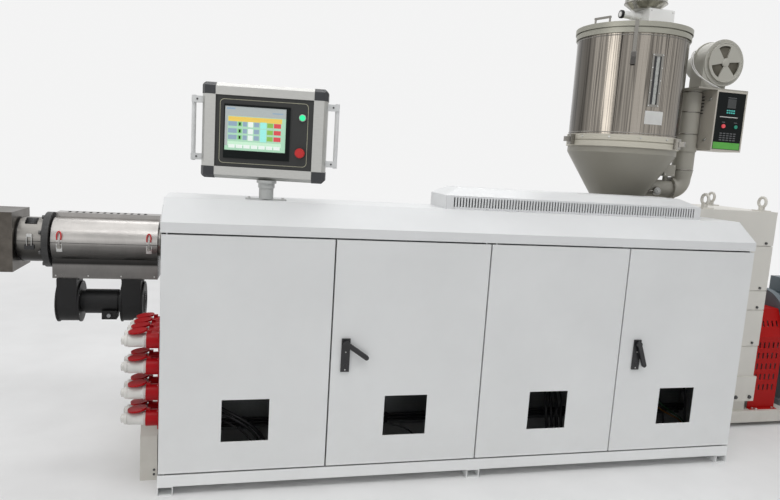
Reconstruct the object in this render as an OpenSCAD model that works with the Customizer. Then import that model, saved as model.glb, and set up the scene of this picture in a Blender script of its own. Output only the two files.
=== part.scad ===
// Single screw plastic extruder with control cabinet, swivel panel and hopper dryer.
// Millimetres, +Z up, the cabinet doors face -Y, the die end points to -X.

/* [Cabinet] */
// Width of the cabinet along the machine
cab_w = 2700; // [2620:20:2860]
// Depth of the cabinet from door front to back
cab_d = 390; // [370:5:430]
// Height of the flat top above the floor
cab_h = 1198; // [1150:2:1240]
// Depth of the sloped strip behind the front edge
slope_d = 125; // [100:5:140]
// Height of the sloped strip
slope_h = 87; // [60:1:100]
// Height of the tube feet
foot_h = 40; // [30:5:60]
// Width of one tube foot
foot_w = 60; // [50:5:80]
// Height of the plinth band below the doors
plinth_h = 49; // [40:1:70]
// Height of the band above the doors
trim_h = 40; // [30:1:60]
// Sheet thickness of the cabinet
sheet = 2; // [1.5:0.5:3]

/* [Doors] */
// Gap round each door leaf
gap = 7; // [7:0.5:10]
// Thickness of a folded door leaf
leaf_t = 18; // [16:1:22]
// Distance from the leaf edge to the hinge pin
hinge_in = 20; // [18:1:24]
// Width of the open cutout in a door
cut_w = 190; // [140:5:230]
// Height of the open cutout in a door
cut_h = 178; // [120:2:220]
// Height of the cutout's lower edge
cut_z = 221; // [180:1:260]
// Height of the lock plates
lock_h = 142; // [120:2:170]
// Width of the lock plates
lock_w = 36; // [30:1:44]
// Rest angle of the lever on the second door
lever_a = 55; // [0:5:80]
// Rest angle of the lever on the fourth door
lever_b = 20; // [0:5:80]

/* [Vent cover] */
// Distance of the vent cover from the left end
vent_x = 1178; // [1000:10:1250]
// Length of the vent cover
vent_w = 1312; // [1100:10:1400]
// Height of the slotted front face
vent_face = 60; // [50:1:80]
// Full height of the vent cover
vent_h = 94; // [84:1:110]

/* [Sockets] */
// Number of socket rows on the left end
sock_rows = 4; // [2:1:4]
// Height of the top row of sockets
sock_z = 634; // [600:2:680]
// Spacing of the socket rows
row_gap = 107; // [100:1:120]
// Spacing of the socket columns
col_gap = 82; // [80:1:90]
// Radius of a plug body
plug_r = 27; // [22:1:30]

/* [Swivel panel] */
// Width of the panel box
pan_w = 510; // [440:5:560]
// Height of the panel box
pan_h = 386; // [330:2:420]
// Depth of the panel box
pan_d = 90; // [70:5:120]
// Width of the aluminium side bars
bar_w = 56; // [40:1:60]
// Height of the upper and lower bars
bar_h = 48; // [40:1:60]
// Distance of the swivel axis from the left end
post_x = 400; // [360:5:460]
// Distance of the swivel axis behind the door front
post_y = 204; // [190:2:230]
// Height of the fixed post
post_h = 64; // [50:2:120]
// Turn of the panel at rest
pan_turn = -10.6; // [-20:0.2:10]
// Width of the bevel on the panel's outer edge
bevel = 14; // [6:1:20]
// Depth of the bevel on the panel's outer edge
bevel_d = 22; // [10:1:30]

/* [Barrel] */
// Height of the barrel axis
axis_z = 940; // [900:5:970]
// Radius of the barrel
barrel_r = 65; // [55:1:70]
// Radius of the screw bore
bore_r = 37.5; // [30:0.5:45]
// Radius of the stainless covers
cover_r = 106; // [104:1:114]
// Length of one cover
cover_len = 449; // [400:1:470]
// Spacing of the heating zones
zone_gap = 522; // [505:1:535]
// Number of heating zones
zones = 5; // [3:1:5]
// Radius of the fan housings
fan_r = 96; // [84:1:98]
// Side of the square die block
die_side = 262; // [220:2:280]
// Length of the die block
die_len = 242; // [160:2:300]

/* [Drive] */
// Distance of the hopper axis from the cabinet's left end
hop_x = 2335; // [2320:5:2400]
// Length of the gearbox along the machine
gear_len = 500; // [480:10:560]
// Height of the gearbox top
gear_h = 1240; // [1210:5:1300]
// Radius of the motor
motor_r = 190; // [160:5:210]
// Length of the motor with its fan cover
motor_len = 720; // [600:10:800]
// Height of the base frame
base_h = 92; // [80:4:120]

/* [Hopper dryer] */
// Radius of the stainless drum
drum_r = 285; // [260:1:300]
// Height of the drum's lower edge
drum_z = 1597; // [1570:1:1640]
// Height of the drum's upper edge
rim_z = 2099; // [2000:5:2200]
// Radius of the hopper throat
throat_r = 75; // [60:1:80]
// Radius of the suction loader's vessel
load_r = 108; // [90:2:112]
// Height of the loader's vessel wall
load_h = 260; // [200:10:300]
// Radius of the dryer fan
blow_r = 124; // [110:2:130]
// Radius of the heater tube below the fan
tube_r = 58; // [50:1:62]
// Radius of the air duct into the cone
duct_r = 48; // [40:1:50]
// Width of the dryer control box
ctl_w = 195; // [160:5:220]
// Height of the dryer control box
ctl_h = 325; // [280:5:360]
// Depth of the dryer control box
ctl_d = 160; // [120:5:200]

/* [Hidden] */
$fn = 64;

// Cabinet levels and door positions
door_z0 = foot_h + plinth_h;
door_z1 = cab_h - slope_h - trim_h;
door_w = cab_w / 4;
frame_y = 28;
post_front = 36;
pin_r = 3;
hinge_y = 6;
band_back = 60;
lock_y = 8;
lever_t = 12;
lever_gap = 5;
lever_l = lock_h - lock_w;
lock_out = lock_y + lever_gap + lever_t;
lock_z2 = 582;
lock_z4 = 568;

// Base frame, placed behind the cabinet and centred on the barrel
base_front = cab_d + 6;
base_half = 254;
axis_y = base_front + base_half;
beam_x0 = -82;
beam_x1 = -14;
beam_half = 507;
beam_h = 240;
deck_t = 12;

// Barrel chain, from the feed block towards the die
feed_half = 150;
feed_x0 = hop_x - feed_half;
feed_x1 = hop_x + feed_half;
rear_gap = 162;
cover_x0 = feed_x0 - rear_gap - zones * zone_gap + (zone_gap - cover_len);
flange_t = 27;
flange_r = 126;
flange_x1 = cover_x0 - 7;
flange_x0 = flange_x1 - flange_t;
collar_len = 102;
collar_x0 = flange_x0 - collar_len;
ring_len = 8;
die_x1 = collar_x0 - ring_len;
die_x0 = die_x1 - die_len;
plenum_z0 = axis_z - cover_r - 60;
plenum_half = 74;
skin = 2;
seam = 1;
hinge_back = cover_r + 8;
hinge_up = 10;
fan_z = plenum_z0 - 25 - fan_r;
fan_w = 100;
fan_a = 12;
fan_b = 286;

// Drive chain, from the feed block to the motor
gear_x0 = feed_x1 + 205;
gear_x1 = gear_x0 + gear_len;
plinth_z = base_h + 63;
plinth_t = 145;
guard_len = 210;
motor_x0 = gear_x1 + guard_len;
motor_x1 = motor_x0 + motor_len;
motor_z = 560;
base_x1 = motor_x1 + 30;

// Hopper dryer
throat_z = axis_z + 185;
cone_z0 = throat_z + 45;
knee_r = 140;
knee_z = cone_z0 + 104;
ring_z0 = drum_z - 62;
neck_z = ring_z0 - 30;
wall = 3;
lid_z1 = rim_z + 54;
load_z0 = lid_z1 + 117;
sight_a = -96;
sight_w = 60;
sight_z0 = drum_z + 143;
sight_z1 = sight_z0 + 260;
duct_x = hop_x + drum_r + 60 + tube_r;
clamp_t = 5;
ctl_x0 = duct_x + tube_r + clamp_t + 1;
ctl_y0 = axis_y - 130;
ctl_z0 = drum_z - 42;
shelf_z = ctl_z0 + ctl_h;
shelf_t = 8;
bend_r = 60;
duct_z = max(gear_h + 90, throat_z + 110);
blow_x = ctl_x0 + 40;
blow_z = shelf_z + shelf_t + 16 + blow_r;

// The frame's origin is the middle of the outline on the floor
x_left = die_x0;
x_right = base_x1;
y_front = -lock_out;
y_back = axis_y + beam_half;
shift_x = -(x_left + x_right) / 2;
shift_y = -(y_front + y_back) / 2;

// Moves a part from the cabinet's corner to the frame's origin
module place() {
  translate([shift_x, shift_y, 0]) children();
}

// Box between two corners
module box(x0, x1, y0, y1, z0, z1) {
  translate([x0, y0, z0]) cube([x1 - x0, y1 - y0, z1 - z0]);
}

// Round bar along X
module rod_x(x0, x1, y, z, r) {
  translate([x0, y, z]) rotate([0, 90, 0]) cylinder(h = x1 - x0, r = r);
}

// Round bar along Y
module rod_y(x, y0, y1, z, r) {
  translate([x, y1, z]) rotate([90, 0, 0]) cylinder(h = y1 - y0, r = r);
}

// Round bar along Z
module rod_z(x, y, z0, z1, r) {
  translate([x, y, z0]) cylinder(h = z1 - z0, r = r);
}

// Outline in Y and Z pushed along X
module along_x(x0, x1) {
  translate([x0, 0, 0]) rotate([90, 0, 90]) linear_extrude(height = x1 - x0) children();
}

// Three open tubes across the underside
module cabinet_feet() {
  color("gainsboro") place()
    for (x = [0, cab_w / 2 - foot_w / 2, cab_w - foot_w])
      difference() {
        box(x, x + foot_w, 0, cab_d, 0, foot_h);
        box(x + 3, x + foot_w - 3, -1, cab_d + 1, 3, foot_h - 3);
      }
}

// Outline of an end panel, notched where the doors lie in front
module end_outline() {
  polygon([
    [0, foot_h], [cab_d, foot_h], [cab_d, cab_h], [slope_d, cab_h],
    [0, cab_h - slope_h], [0, door_z1], [frame_y, door_z1],
    [frame_y, door_z0], [0, door_z0]
  ]);
}

// Floor, plinth, ends, back and the posts between the doors
module cabinet_shell() {
  color("white") place() {
    along_x(0, sheet) end_outline();
    along_x(cab_w - sheet, cab_w) end_outline();
    box(sheet, cab_w - sheet, 0, cab_d, foot_h, foot_h + sheet);
    box(sheet, cab_w - sheet, 0, sheet, foot_h, door_z0);
    box(sheet, cab_w - sheet, 0, band_back, door_z0 - sheet, door_z0);
    box(sheet, cab_w - sheet, cab_d - sheet, cab_d, foot_h, cab_h - sheet);
    for (i = [1:3])
      difference() {
        box(i * door_w - 20, i * door_w + 20, post_front, band_back, door_z0, door_z1);
        box(i * door_w - 18, i * door_w + 18, post_front + 2, band_back + 1,
            door_z0 + 3, door_z1 - 3);
      }
    for (x = hinge_pins())
      rod_z(x, hinge_y, door_z0 - 1, door_z0 + 18, pin_r);
  }
}

// Hinge pin positions along X, one for each door
function hinge_pins() = [
  gap / 2 + hinge_in,
  cab_w / 2 - gap / 2 - hinge_in,
  cab_w / 2 + gap / 2 + hinge_in,
  cab_w - gap / 2 - hinge_in
];

// Band above the doors, slope and flat top in one folded sheet
module cabinet_top() {
  color("white") place() {
    along_x(sheet, cab_w - sheet) polygon([
      [0, door_z1], [0, cab_h - slope_h], [slope_d, cab_h], [cab_d, cab_h],
      [cab_d, cab_h - sheet], [slope_d + 0.6, cab_h - sheet],
      [sheet, cab_h - slope_h - 1], [sheet, door_z1 + sheet],
      [band_back, door_z1 + sheet], [band_back, door_z1]
    ]);
    for (x = hinge_pins())
      rod_z(x, hinge_y, door_z1 - 18, door_z1 + 1, pin_r);
  }
}

// Galvanised plate with rows of switchgear behind the doors
module equipment_plate() {
  plate_y = cab_d - 60;
  color("silver") place() {
    box(40, cab_w - 40, plate_y, plate_y + 3, door_z0 + 40, door_z1 - 30);
    for (x = [100, cab_w / 2, cab_w - 100], z = [door_z0 + 80, door_z1 - 80])
      rod_y(x, plate_y + 3, cab_d - sheet, z, 8);
    for (i = [0:3]) {
      x0 = i * door_w + 70;
      for (k = [0:5])
        box(x0 + k * 90, x0 + k * 90 + 78, plate_y - 80, plate_y, 820, 920);
      box(x0, x0 + 530, plate_y - 50, plate_y, 730, 780);
      for (k = [0:4])
        box(x0 + k * 108, x0 + k * 108 + 90, plate_y - 95, plate_y, 540, 690);
      box(x0, x0 + 530, plate_y - 50, plate_y, 450, 500);
    }
  }
}

// Folded leaf of door i with its cutout and pin holes, pin at the left or right edge
module leaf(i, pin_left) {
  x0 = i * door_w + gap / 2;
  x1 = (i + 1) * door_w - gap / 2;
  z0 = door_z0 + gap;
  z1 = door_z1 - gap;
  xm = (x0 + x1) / 2;
  xp = pin_left ? x0 + hinge_in : x1 - hinge_in;
  difference() {
    box(x0, x1, 0, leaf_t, z0, z1);
    box(x0 + sheet, x1 - sheet, sheet, leaf_t + 1, z0 + sheet, z1 - sheet);
    box(xm - cut_w / 2, xm + cut_w / 2, -1, sheet + 1, cut_z, cut_z + cut_h);
    rod_z(xp, hinge_y, z0 - 1, z0 + sheet + 1, pin_r + 0.5);
    rod_z(xp, hinge_y, z1 - sheet - 1, z1 + 1, pin_r + 0.5);
  }
}

// First door, hinged at its left edge
module door_1() {
  color("white") place() leaf(0, true);
}

// Second door, hinged at its right edge
module door_2() {
  color("white") place() leaf(1, false);
}

// Third door, hinged at its left edge
module door_3() {
  color("white") place() leaf(2, true);
}

// Fourth door, hinged at its right edge
module door_4() {
  color("white") place() leaf(3, false);
}

// Place of the lock and its lever on door i
function lever_x(i) = i * door_w + gap / 2 + lock_w / 2 + (i == 1 ? 40 : 68);

// Flat lock plate with a round boss that carries the lever
module lock_plate(i, zc) {
  x = lever_x(i);
  box(x - lock_w / 2, x + lock_w / 2, -lock_y, 0, zc - lock_h / 2, zc + lock_h / 2);
  rod_y(x, -lock_out + 2, -lock_y, zc + lock_h / 2 - lock_w / 2, 6);
}

// Lock plate on the second door
module lock_2() {
  color("dimgray") place() lock_plate(1, lock_z2);
}

// Lock plate on the fourth door
module lock_4() {
  color("dimgray") place() lock_plate(3, lock_z4);
}

// Lever that hangs from the boss, swung out by an angle
module lever(i, zc, ang) {
  x = lever_x(i);
  zp = zc + lock_h / 2 - lock_w / 2;
  translate([x, 0, zp]) rotate([0, -ang, 0])
    difference() {
      union() {
        rod_y(0, -lock_out, -lock_y - lever_gap, 0, 13);
        box(-10, 10, -lock_out, -lock_y - lever_gap, -lever_l, 0);
        rod_y(0, -lock_out, -lock_y - lever_gap, -lever_l, 10);
      }
      rod_y(0, -lock_out + 1.5, -lock_y, 0, 6.5);
    }
}

// Lever on the second door
module lever_2() {
  color("dimgray") place() lever(1, lock_z2, lever_a);
}

// Lever on the fourth door
module lever_4() {
  color("dimgray") place() lever(3, lock_z4, lever_b);
}

// Solid of the vent cover: upright faces with a hipped top
module vent_solid(off) {
  x0 = vent_x + off;
  x1 = vent_x + vent_w - off;
  y0 = slope_d + 25 + off;
  y1 = cab_d - 15 - off;
  z0 = cab_h;
  z1 = cab_h + vent_face;
  z2 = cab_h + vent_h - off;
  hull() {
    box(x0, x1, y0, y1, z0, z1);
    box(x0 + 75, x1 - 75, y0 + 70, y1 - 10, z1, z2);
  }
}

// Long hood on the flat top with a slotted front
module vent_cover() {
  slot_n = floor((vent_w - 60) / 14);
  slot_x0 = vent_x + (vent_w - (slot_n - 1) * 14) / 2;
  color("white") place()
    difference() {
      vent_solid(0);
      translate([0, 0, -0.01]) vent_solid(sheet);
      for (k = [0:slot_n - 1])
        box(slot_x0 + k * 14 - 3, slot_x0 + k * 14 + 3,
            slope_d + 20, slope_d + 25 + sheet + 1, cab_h + 10, cab_h + vent_face - 8);
    }
}

// Number of socket columns in a row
function cols(r) = r == 0 ? 4 : 2;

// Red sockets with flanges and raised lids on the left end
module sockets() {
  color("red") place()
    for (r = [0:sock_rows - 1], c = [0:cols(r) - 1]) {
      y = 58 + c * col_gap;
      z = sock_z - r * row_gap;
      box(-4, 0, y - 36, y + 36, z - 36, z + 44);
      rod_x(-50, -4, y, z, plug_r + 6);
      box(-50, -34, y - 8, y + 8, z + plug_r + 4, z + plug_r + 14);
      translate([-46, y, z + plug_r + 12]) rotate([0, -8, 0])
        translate([-38, 0, 0]) cylinder(h = 7, r = plug_r + 9);
    }
}

// White plugs seated in the sockets, their glands closed
module plugs() {
  color("white") place()
    for (r = [0:sock_rows - 1], c = [0:cols(r) - 1]) {
      y = 58 + c * col_gap;
      z = sock_z - r * row_gap;
      rod_x(-118, -50, y, z, plug_r);
      rod_x(-132, -118, y, z, plug_r - 4);
      rod_x(-143, -132, y, z, plug_r - 10);
    }
}

// Fixed post of the swivel panel with its foot plate
module panel_post() {
  color("lightgray") place() {
    box(post_x - 84, post_x + 84, post_y - 22, post_y + 22, cab_h, cab_h + 5);
    rod_z(post_x, post_y, cab_h + 5, cab_h + post_h, 30);
  }
}

// Frame of the panel, turned about the post axis, X across and Z from its middle
pan_z0 = cab_h + post_h + 17;
pan_z = pan_z0 + pan_h / 2;
start_at = [154, 71];
stop_at = [149, -72];
module pan() {
  place() translate([post_x, post_y, pan_z]) rotate([0, 0, pan_turn])
    translate([-12, 0, 0]) children();
}

// Bar of the panel frame, its outer front edge bevelled, width w along the local X
module bevel_bar(w, len) {
  linear_extrude(height = len) polygon([
    [0, 2 - pan_d / 2], [w - bevel, 2 - pan_d / 2], [w, 2 - pan_d / 2 + bevel_d],
    [w, pan_d / 2 - 2], [0, pan_d / 2 - 2]
  ]);
}

// Aluminium bars round the panel and its back plate
module panel_frame() {
  pw = pan_w / 2 - bar_w;
  ph = pan_h / 2 - bar_h;
  color("silver") pan() {
    for (s = [0, 1])
      mirror([s, 0, 0]) translate([pw - 1, 0, -ph]) bevel_bar(bar_w, 2 * ph);
    for (s = [0, 1])
      mirror([0, 0, s]) rotate([0, -90, 0]) translate([ph - 1, 0, -pw]) bevel_bar(bar_h, 2 * pw);
    box(-pw - 1, pw + 1, pan_d / 2 - 6, pan_d / 2 - 2, -ph, ph);
    box(-pw, pw, pan_d / 2 - 6, pan_d / 2 - 2, -ph - 1, ph + 1);
  }
}

// One corner block, chamfered across the corner and along its front edges
module corner_block() {
  y0 = -pan_d / 2;
  y1 = pan_d / 2;
  cut = 14;
  intersection() {
    translate([0, y1, 0]) rotate([90, 0, 0]) linear_extrude(height = pan_d) polygon([
      [0, 0], [bar_w, 0], [bar_w, bar_h - cut], [bar_w - cut, bar_h], [0, bar_h]
    ]);
    linear_extrude(height = bar_h) polygon([
      [0, y0], [bar_w - bevel, y0], [bar_w, y0 + bevel_d], [bar_w, y1], [0, y1]
    ]);
    rotate([90, 0, 90]) linear_extrude(height = bar_w) polygon([
      [y0, 0], [y0, bar_h - bevel], [y0 + bevel_d, bar_h], [y1, bar_h], [y1, 0]
    ]);
  }
}

// Dark corner blocks of the panel
module panel_corners() {
  color("dimgray") pan()
    for (sx = [0, 1], sz = [0, 1])
      mirror([sx, 0, 0]) mirror([0, 0, sz])
        translate([pan_w / 2 - bar_w, 0, pan_h / 2 - bar_h]) corner_block();
}

// Swivel head that carries the panel and turns on the post
module swivel_head() {
  head_z = cab_h + post_h - 14;
  color("dimgray") place() difference() {
    union() {
      rod_z(post_x, post_y, head_z, pan_z0 + 1, 34);
      rod_z(post_x, post_y, pan_z0 - 11, pan_z0 + 1, 41);
    }
    rod_z(post_x, post_y, head_z - 1, cab_h + post_h, 30.5);
  }
}

// Dark front plate with the bezel and the button collars
module panel_face() {
  pw = pan_w / 2 - bar_w - 1;
  ph = pan_h / 2 - bar_h - 1;
  y0 = -pan_d / 2;
  color("dimgray") pan()
    difference() {
      union() {
        box(-pw, pw, y0 + 8, y0 + 12, -ph, ph);
        box(-163, 104, y0 + 2, y0 + 8, -108, 109);
        rod_y(start_at[0], y0 + 4, y0 + 8, start_at[1], 15);
        rod_y(stop_at[0], y0 + 4, y0 + 8, stop_at[1], 15);
      }
      box(-159, 88, y0 + 1, y0 + 3.5, -76, 101);
      rod_y(start_at[0], y0, y0 + 20, start_at[1], 11.5);
      rod_y(stop_at[0], y0, y0 + 20, stop_at[1], 9);
    }
}

// Round grips on both sides of the panel
module panel_handles() {
  color("gainsboro") pan()
    for (s = [-1, 1]) {
      x = s * (pan_w / 2 + 38);
      rod_z(x, 0, -126, 138, 9);
      for (z = [-110, 122])
        translate([s > 0 ? pan_w / 2 - 1 : -x - 7 + x * 2, -16, z - 13])
          cube([46, 32, 26]);
    }
}

// Green start button, sprung
module start_button() {
  y0 = -pan_d / 2;
  color("limegreen") pan() {
    rod_y(start_at[0], y0 - 4, y0 + 10, start_at[1], 11);
    rod_y(start_at[0], y0 + 10, y0 + 30, start_at[1], 6);
  }
}

// Red mushroom button, sprung
module stop_button() {
  y0 = -pan_d / 2;
  color("red") pan() {
    rod_y(stop_at[0], y0 - 14, y0 - 8, stop_at[1], 20);
    rod_y(stop_at[0], y0 - 22, y0 - 14, stop_at[1], 17);
    rod_y(stop_at[0], y0 - 8, y0 + 30, stop_at[1], 8.5);
  }
}

// Base with side rails, deck, left end beam and levelling pads
module base_frame() {
  y0 = base_front;
  y1 = axis_y + base_half;
  top = base_h - deck_t;
  rail_z = 25;
  color("tan") place() {
    box(beam_x1, base_x1, y0, y1, top, base_h);
    box(beam_x1, base_x1, y0, y0 + 60, rail_z, top);
    box(beam_x1, base_x1, y1 - 60, y1, rail_z, top);
    for (x = [feed_x0 - 1600, feed_x0 - 900, feed_x0 - 200, gear_x0 + 20, gear_x1 - 80, base_x1 - 60])
      box(x, x + 60, y0 + 60, y1 - 60, rail_z + 10, top);
    for (k = [0:3])
      box((k + 0.5) * door_w - 40, (k + 0.5) * door_w + 40, cab_d, y0, foot_h + 10, top);
    for (x = [feed_x0 - 1500, feed_x0 - 300, gear_x0 + 60, base_x1 - 120], y = [y0 + 30, y1 - 30]) {
      rod_z(x, y, 12, rail_z, 12);
      rod_z(x, y, 0, 12, 40);
    }
    difference() {
      along_x(beam_x0, beam_x1) polygon([
        [axis_y - beam_half, 0], [axis_y + beam_half, 0],
        [axis_y + beam_half, beam_h - 45], [axis_y + beam_half - 20, beam_h],
        [axis_y - beam_half + 20, beam_h], [axis_y - beam_half, beam_h - 45]
      ]);
      box(beam_x0 + 6, beam_x1 + 1, axis_y - beam_half + 6, y0 - 1, 64, beam_h - 50);
      box(beam_x0 + 6, beam_x1 + 1, y1 + 1, axis_y + beam_half - 6, 64, beam_h - 50);
      box(beam_x0 - 1, beam_x0 + 2, axis_y - beam_half - 1, axis_y + beam_half + 1, 58, 61);
      for (y = [axis_y - beam_half + 25, axis_y + beam_half - 25], z = [20, 40])
        rod_x(beam_x0 - 1, beam_x1 + 1, y, z, 6);
    }
  }
}

// Black stands with clamp rings between the covers
module barrel_stands() {
  color("dimgray") place()
    for (k = [0:zones - 1]) {
      xc = cover_x0 + cover_len + (zone_gap - cover_len) / 2 + k * zone_gap;
      z0 = xc - 24 < beam_x1 ? beam_h : base_h;
      difference() {
        union() {
          rod_x(xc - 24, xc + 24, axis_y, axis_z, cover_r);
          box(xc - 20, xc + 20, axis_y - 60, axis_y + 60, z0, axis_z);
          box(xc - 24, xc + 24, axis_y - 110, axis_y + 110, z0, z0 + 14);
        }
        rod_x(xc - 30, xc + 30, axis_y, axis_z, barrel_r + 0.3);
      }
    }
}

// Tall gearbox in stacked sections with lifting eyes and an input flange
module gearbox() {
  y0 = base_front + 4;
  y1 = axis_y + base_half - 4;
  z1 = plinth_z + plinth_t;
  color("tan") place() difference() {
    union() {
      box(gear_x0 + 20, gear_x1 - 20, y0 + 20, y1 - 20, base_h, plinth_z);
      box(gear_x0 - 12, gear_x1 + 12, y0 - 6, y1 + 4, plinth_z, z1);
      box(gear_x0 + 6, gear_x1 - 6, y0 + 6, y1 - 6, z1, gear_h - 180);
      box(gear_x0 + 2, gear_x1 - 2, y0 + 3, y1 - 3, z1, gear_h - 764);
      box(gear_x0, gear_x1, y0, y1, gear_h - 760, gear_h - 554);
      box(gear_x0, gear_x1, y0, y1, gear_h - 550, gear_h - 444);
      box(gear_x0, gear_x1, y0, y1, gear_h - 440, gear_h - 192);
      box(gear_x0, gear_x1, y0, y1, gear_h - 188, gear_h);
      for (x = [gear_x0 + 64, gear_x1 - 64], y = [y0 + 50, y1 - 50]) {
        box(x - 34, x + 34, y - 34, y + 34, gear_h, gear_h + 6);
        rod_z(x, y, gear_h + 6, gear_h + 26, 16);
        translate([x, y, gear_h + 50]) rotate([0, 90, 0]) rotate_extrude()
          translate([26, 0]) circle(r = 8);
      }
      rod_x(gear_x1 - 6, gear_x1 + 18, axis_y, motor_z, 120);
    }
    rod_x(gear_x0 - 20, gear_x0 + 60, axis_y, axis_z, bore_r + 12);
  }
}

// Round guard over the coupling
module coupling_guard() {
  color("gold") place() {
    rod_x(gear_x1 + 18, motor_x0, axis_y, motor_z, 105);
    box(gear_x1 + 60, motor_x0 - 60, axis_y - 60, axis_y + 60, base_h, motor_z - 60);
  }
}

// Drive motor with ribs, terminal box, feet and fan cover
module motor() {
  color("slategray") place() {
    rod_x(motor_x0, motor_x0 + 40, axis_y, motor_z, motor_r + 18);
    rod_x(motor_x0 + 40, motor_x1 - 150, axis_y, motor_z, motor_r - 16);
    rod_x(motor_x1 - 150, motor_x1, axis_y, motor_z, motor_r + 4);
    for (a = [0:15:345])
      translate([0, axis_y, motor_z]) rotate([a, 0, 0])
        box(motor_x0 + 40, motor_x1 - 150, -3, 3, motor_r - 30, motor_r);
    box(motor_x0 + 140, motor_x0 + 340, axis_y - 90, axis_y + 90,
        motor_z + motor_r - 20, motor_z + motor_r + 80);
    for (x = [motor_x0 + 90, motor_x1 - 230])
      box(x, x + 70, axis_y - motor_r + 10, axis_y + motor_r - 10,
          base_h + 30, motor_z - 100);
    box(motor_x0 + 60, motor_x1 - 130, axis_y - motor_r, axis_y + motor_r,
        base_h, base_h + 30);
  }
}

// Feed block under the hopper and the round section up to the gearbox
module feed_section() {
  color("silver") place() difference() {
    union() {
      box(feed_x0, feed_x1, axis_y - feed_half, axis_y + feed_half, axis_z - 160, throat_z);
      rod_x(feed_x1, gear_x0, axis_y, axis_z, 183);
      box(hop_x - 60, hop_x + 60, axis_y - 90, axis_y + 90, base_h, axis_z - 160);
    }
    rod_x(feed_x0 - 1, gear_x0 + 1, axis_y, axis_z, bore_r);
    rod_z(hop_x, axis_y, axis_z, throat_z + 1, throat_r - 10);
  }
}

// Barrel tube with its rear flange
module barrel() {
  color("gray") place() difference() {
    union() {
      rod_x(flange_x1, feed_x0, axis_y, axis_z, barrel_r);
      rod_x(feed_x0 - 42, feed_x0, axis_y, axis_z, 120);
    }
    rod_x(flange_x1 - 1, feed_x0 + 1, axis_y, axis_z, bore_r);
  }
}

// Finned heater rings, two in each zone
module heater_bands() {
  color("silver") place()
    for (k = [0:zones - 1], j = [0, 1]) {
      x0 = cover_x0 + k * zone_gap + 20 + j * (cover_len / 2 - 5);
      x1 = x0 + cover_len / 2 - 40;
      difference() {
        union() {
          rod_x(x0, x1, axis_y, axis_z, barrel_r + 16);
          for (m = [0:7])
            rod_x(x0 + m * (x1 - x0 - 6) / 7, x0 + m * (x1 - x0 - 6) / 7 + 6,
                  axis_y, axis_z, barrel_r + 25);
        }
        rod_x(x0 - 1, x1 + 1, axis_y, axis_z, barrel_r + 0.3);
      }
    }
}

// Lower half covers with the air boxes beneath
module cover_bottoms() {
  color("silver") place()
    for (k = [0:zones - 1]) {
      x0 = cover_x0 + k * zone_gap;
      x1 = x0 + cover_len;
      difference() {
        union() {
          difference() {
            rod_x(x0, x1, axis_y, axis_z, cover_r);
            rod_x(x0 + skin, x1 - skin, axis_y, axis_z, cover_r - skin);
          }
          difference() {
            box(x0, x1, axis_y - plenum_half, axis_y + plenum_half, plenum_z0, axis_z - 70);
            rod_x(x0 - 1, x1 + 1, axis_y, axis_z, cover_r - skin);
          }
        }
        box(x0 - 1, x1 + 1, axis_y - 200, axis_y + 200, axis_z - seam, axis_z + 300);
        rod_x(x0 - 1, x1 + 1, axis_y, axis_z, barrel_r + 0.3);
        box(x0 + skin, x1 - skin, axis_y - plenum_half + skin, axis_y + plenum_half - skin,
            plenum_z0 + skin, axis_z - 80);
        for (x = [x0 + fan_a + fan_w / 2, x0 + fan_b + fan_w / 2])
          box(x - 36, x + 36, axis_y - 38, axis_y + 38, plenum_z0 - 1, plenum_z0 + 3);
      }
      box(x0, x1, axis_y + cover_r - skin, axis_y + cover_r + 14, axis_z - 4, axis_z - seam);
      for (x = [x0 + 60, x1 - 100])
        rod_x(x, x + 40, axis_y + hinge_back, axis_z + hinge_up, 4);
      for (x = [x0 + 60, x1 - 100])
        box(x, x + 8, axis_y + hinge_back - 3, axis_y + hinge_back + 3,
            axis_z - 4, axis_z + hinge_up);
      for (x = [x0 + 36, x1 - 36])
        box(x - 9, x + 9, axis_y - cover_r - 4, axis_y - cover_r + 3,
            axis_z - 18, axis_z - 8);
    }
}

// Upper half cover of zone k with ridge, latches and hinge eyes
module cover_top(k) {
  x0 = cover_x0 + k * zone_gap;
  x1 = x0 + cover_len;
  difference() {
    union() {
      difference() {
        rod_x(x0, x1, axis_y, axis_z, cover_r);
        rod_x(x0 + skin, x1 - skin, axis_y, axis_z, cover_r - skin);
      }
      difference() {
        box(x0, x1, axis_y, axis_y + 80, axis_z + 60, axis_z + cover_r + 20);
        rod_x(x0 - 1, x1 + 1, axis_y, axis_z, cover_r - skin);
        box(x0 + skin, x1 - skin, axis_y + skin, axis_y + 80 - skin,
            axis_z + 50, axis_z + cover_r + 20 - skin);
      }
    }
    box(x0 - 1, x1 + 1, axis_y - 200, axis_y + 200, axis_z - 300, axis_z + seam);
    rod_x(x0 - 1, x1 + 1, axis_y, axis_z, barrel_r + 6);
    for (x = [x0 + 50:30:x1 - 50])
      box(x - 6, x + 6, axis_y + 15, axis_y + 65, axis_z + cover_r, axis_z + cover_r + 30);
  }
  difference() {
    for (x = [x0 + 70, x1 - 90]) {
      rod_x(x, x + 24, axis_y + hinge_back, axis_z + hinge_up, 8);
      box(x, x + 24, axis_y + cover_r - 4, axis_y + hinge_back,
          axis_z + hinge_up - 3, axis_z + hinge_up + 3);
    }
    rod_x(x0, x1, axis_y + hinge_back, axis_z + hinge_up, 4.3);
  }
  for (x = [x0 + 36, x1 - 36]) {
    box(x - 13, x + 13, axis_y - cover_r - 2, axis_y - cover_r + 8, axis_z + 8, axis_z + 24);
    box(x - 4, x + 4, axis_y - cover_r - 7, axis_y - cover_r - 4, axis_z - 14, axis_z + 22);
    box(x - 4, x + 4, axis_y - cover_r - 7, axis_y - cover_r - 2, axis_z + 12, axis_z + 22);
  }
}

// Upper cover of the zone next to the die
module cover_top_1() {
  color("silver") place() cover_top(0);
}

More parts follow.
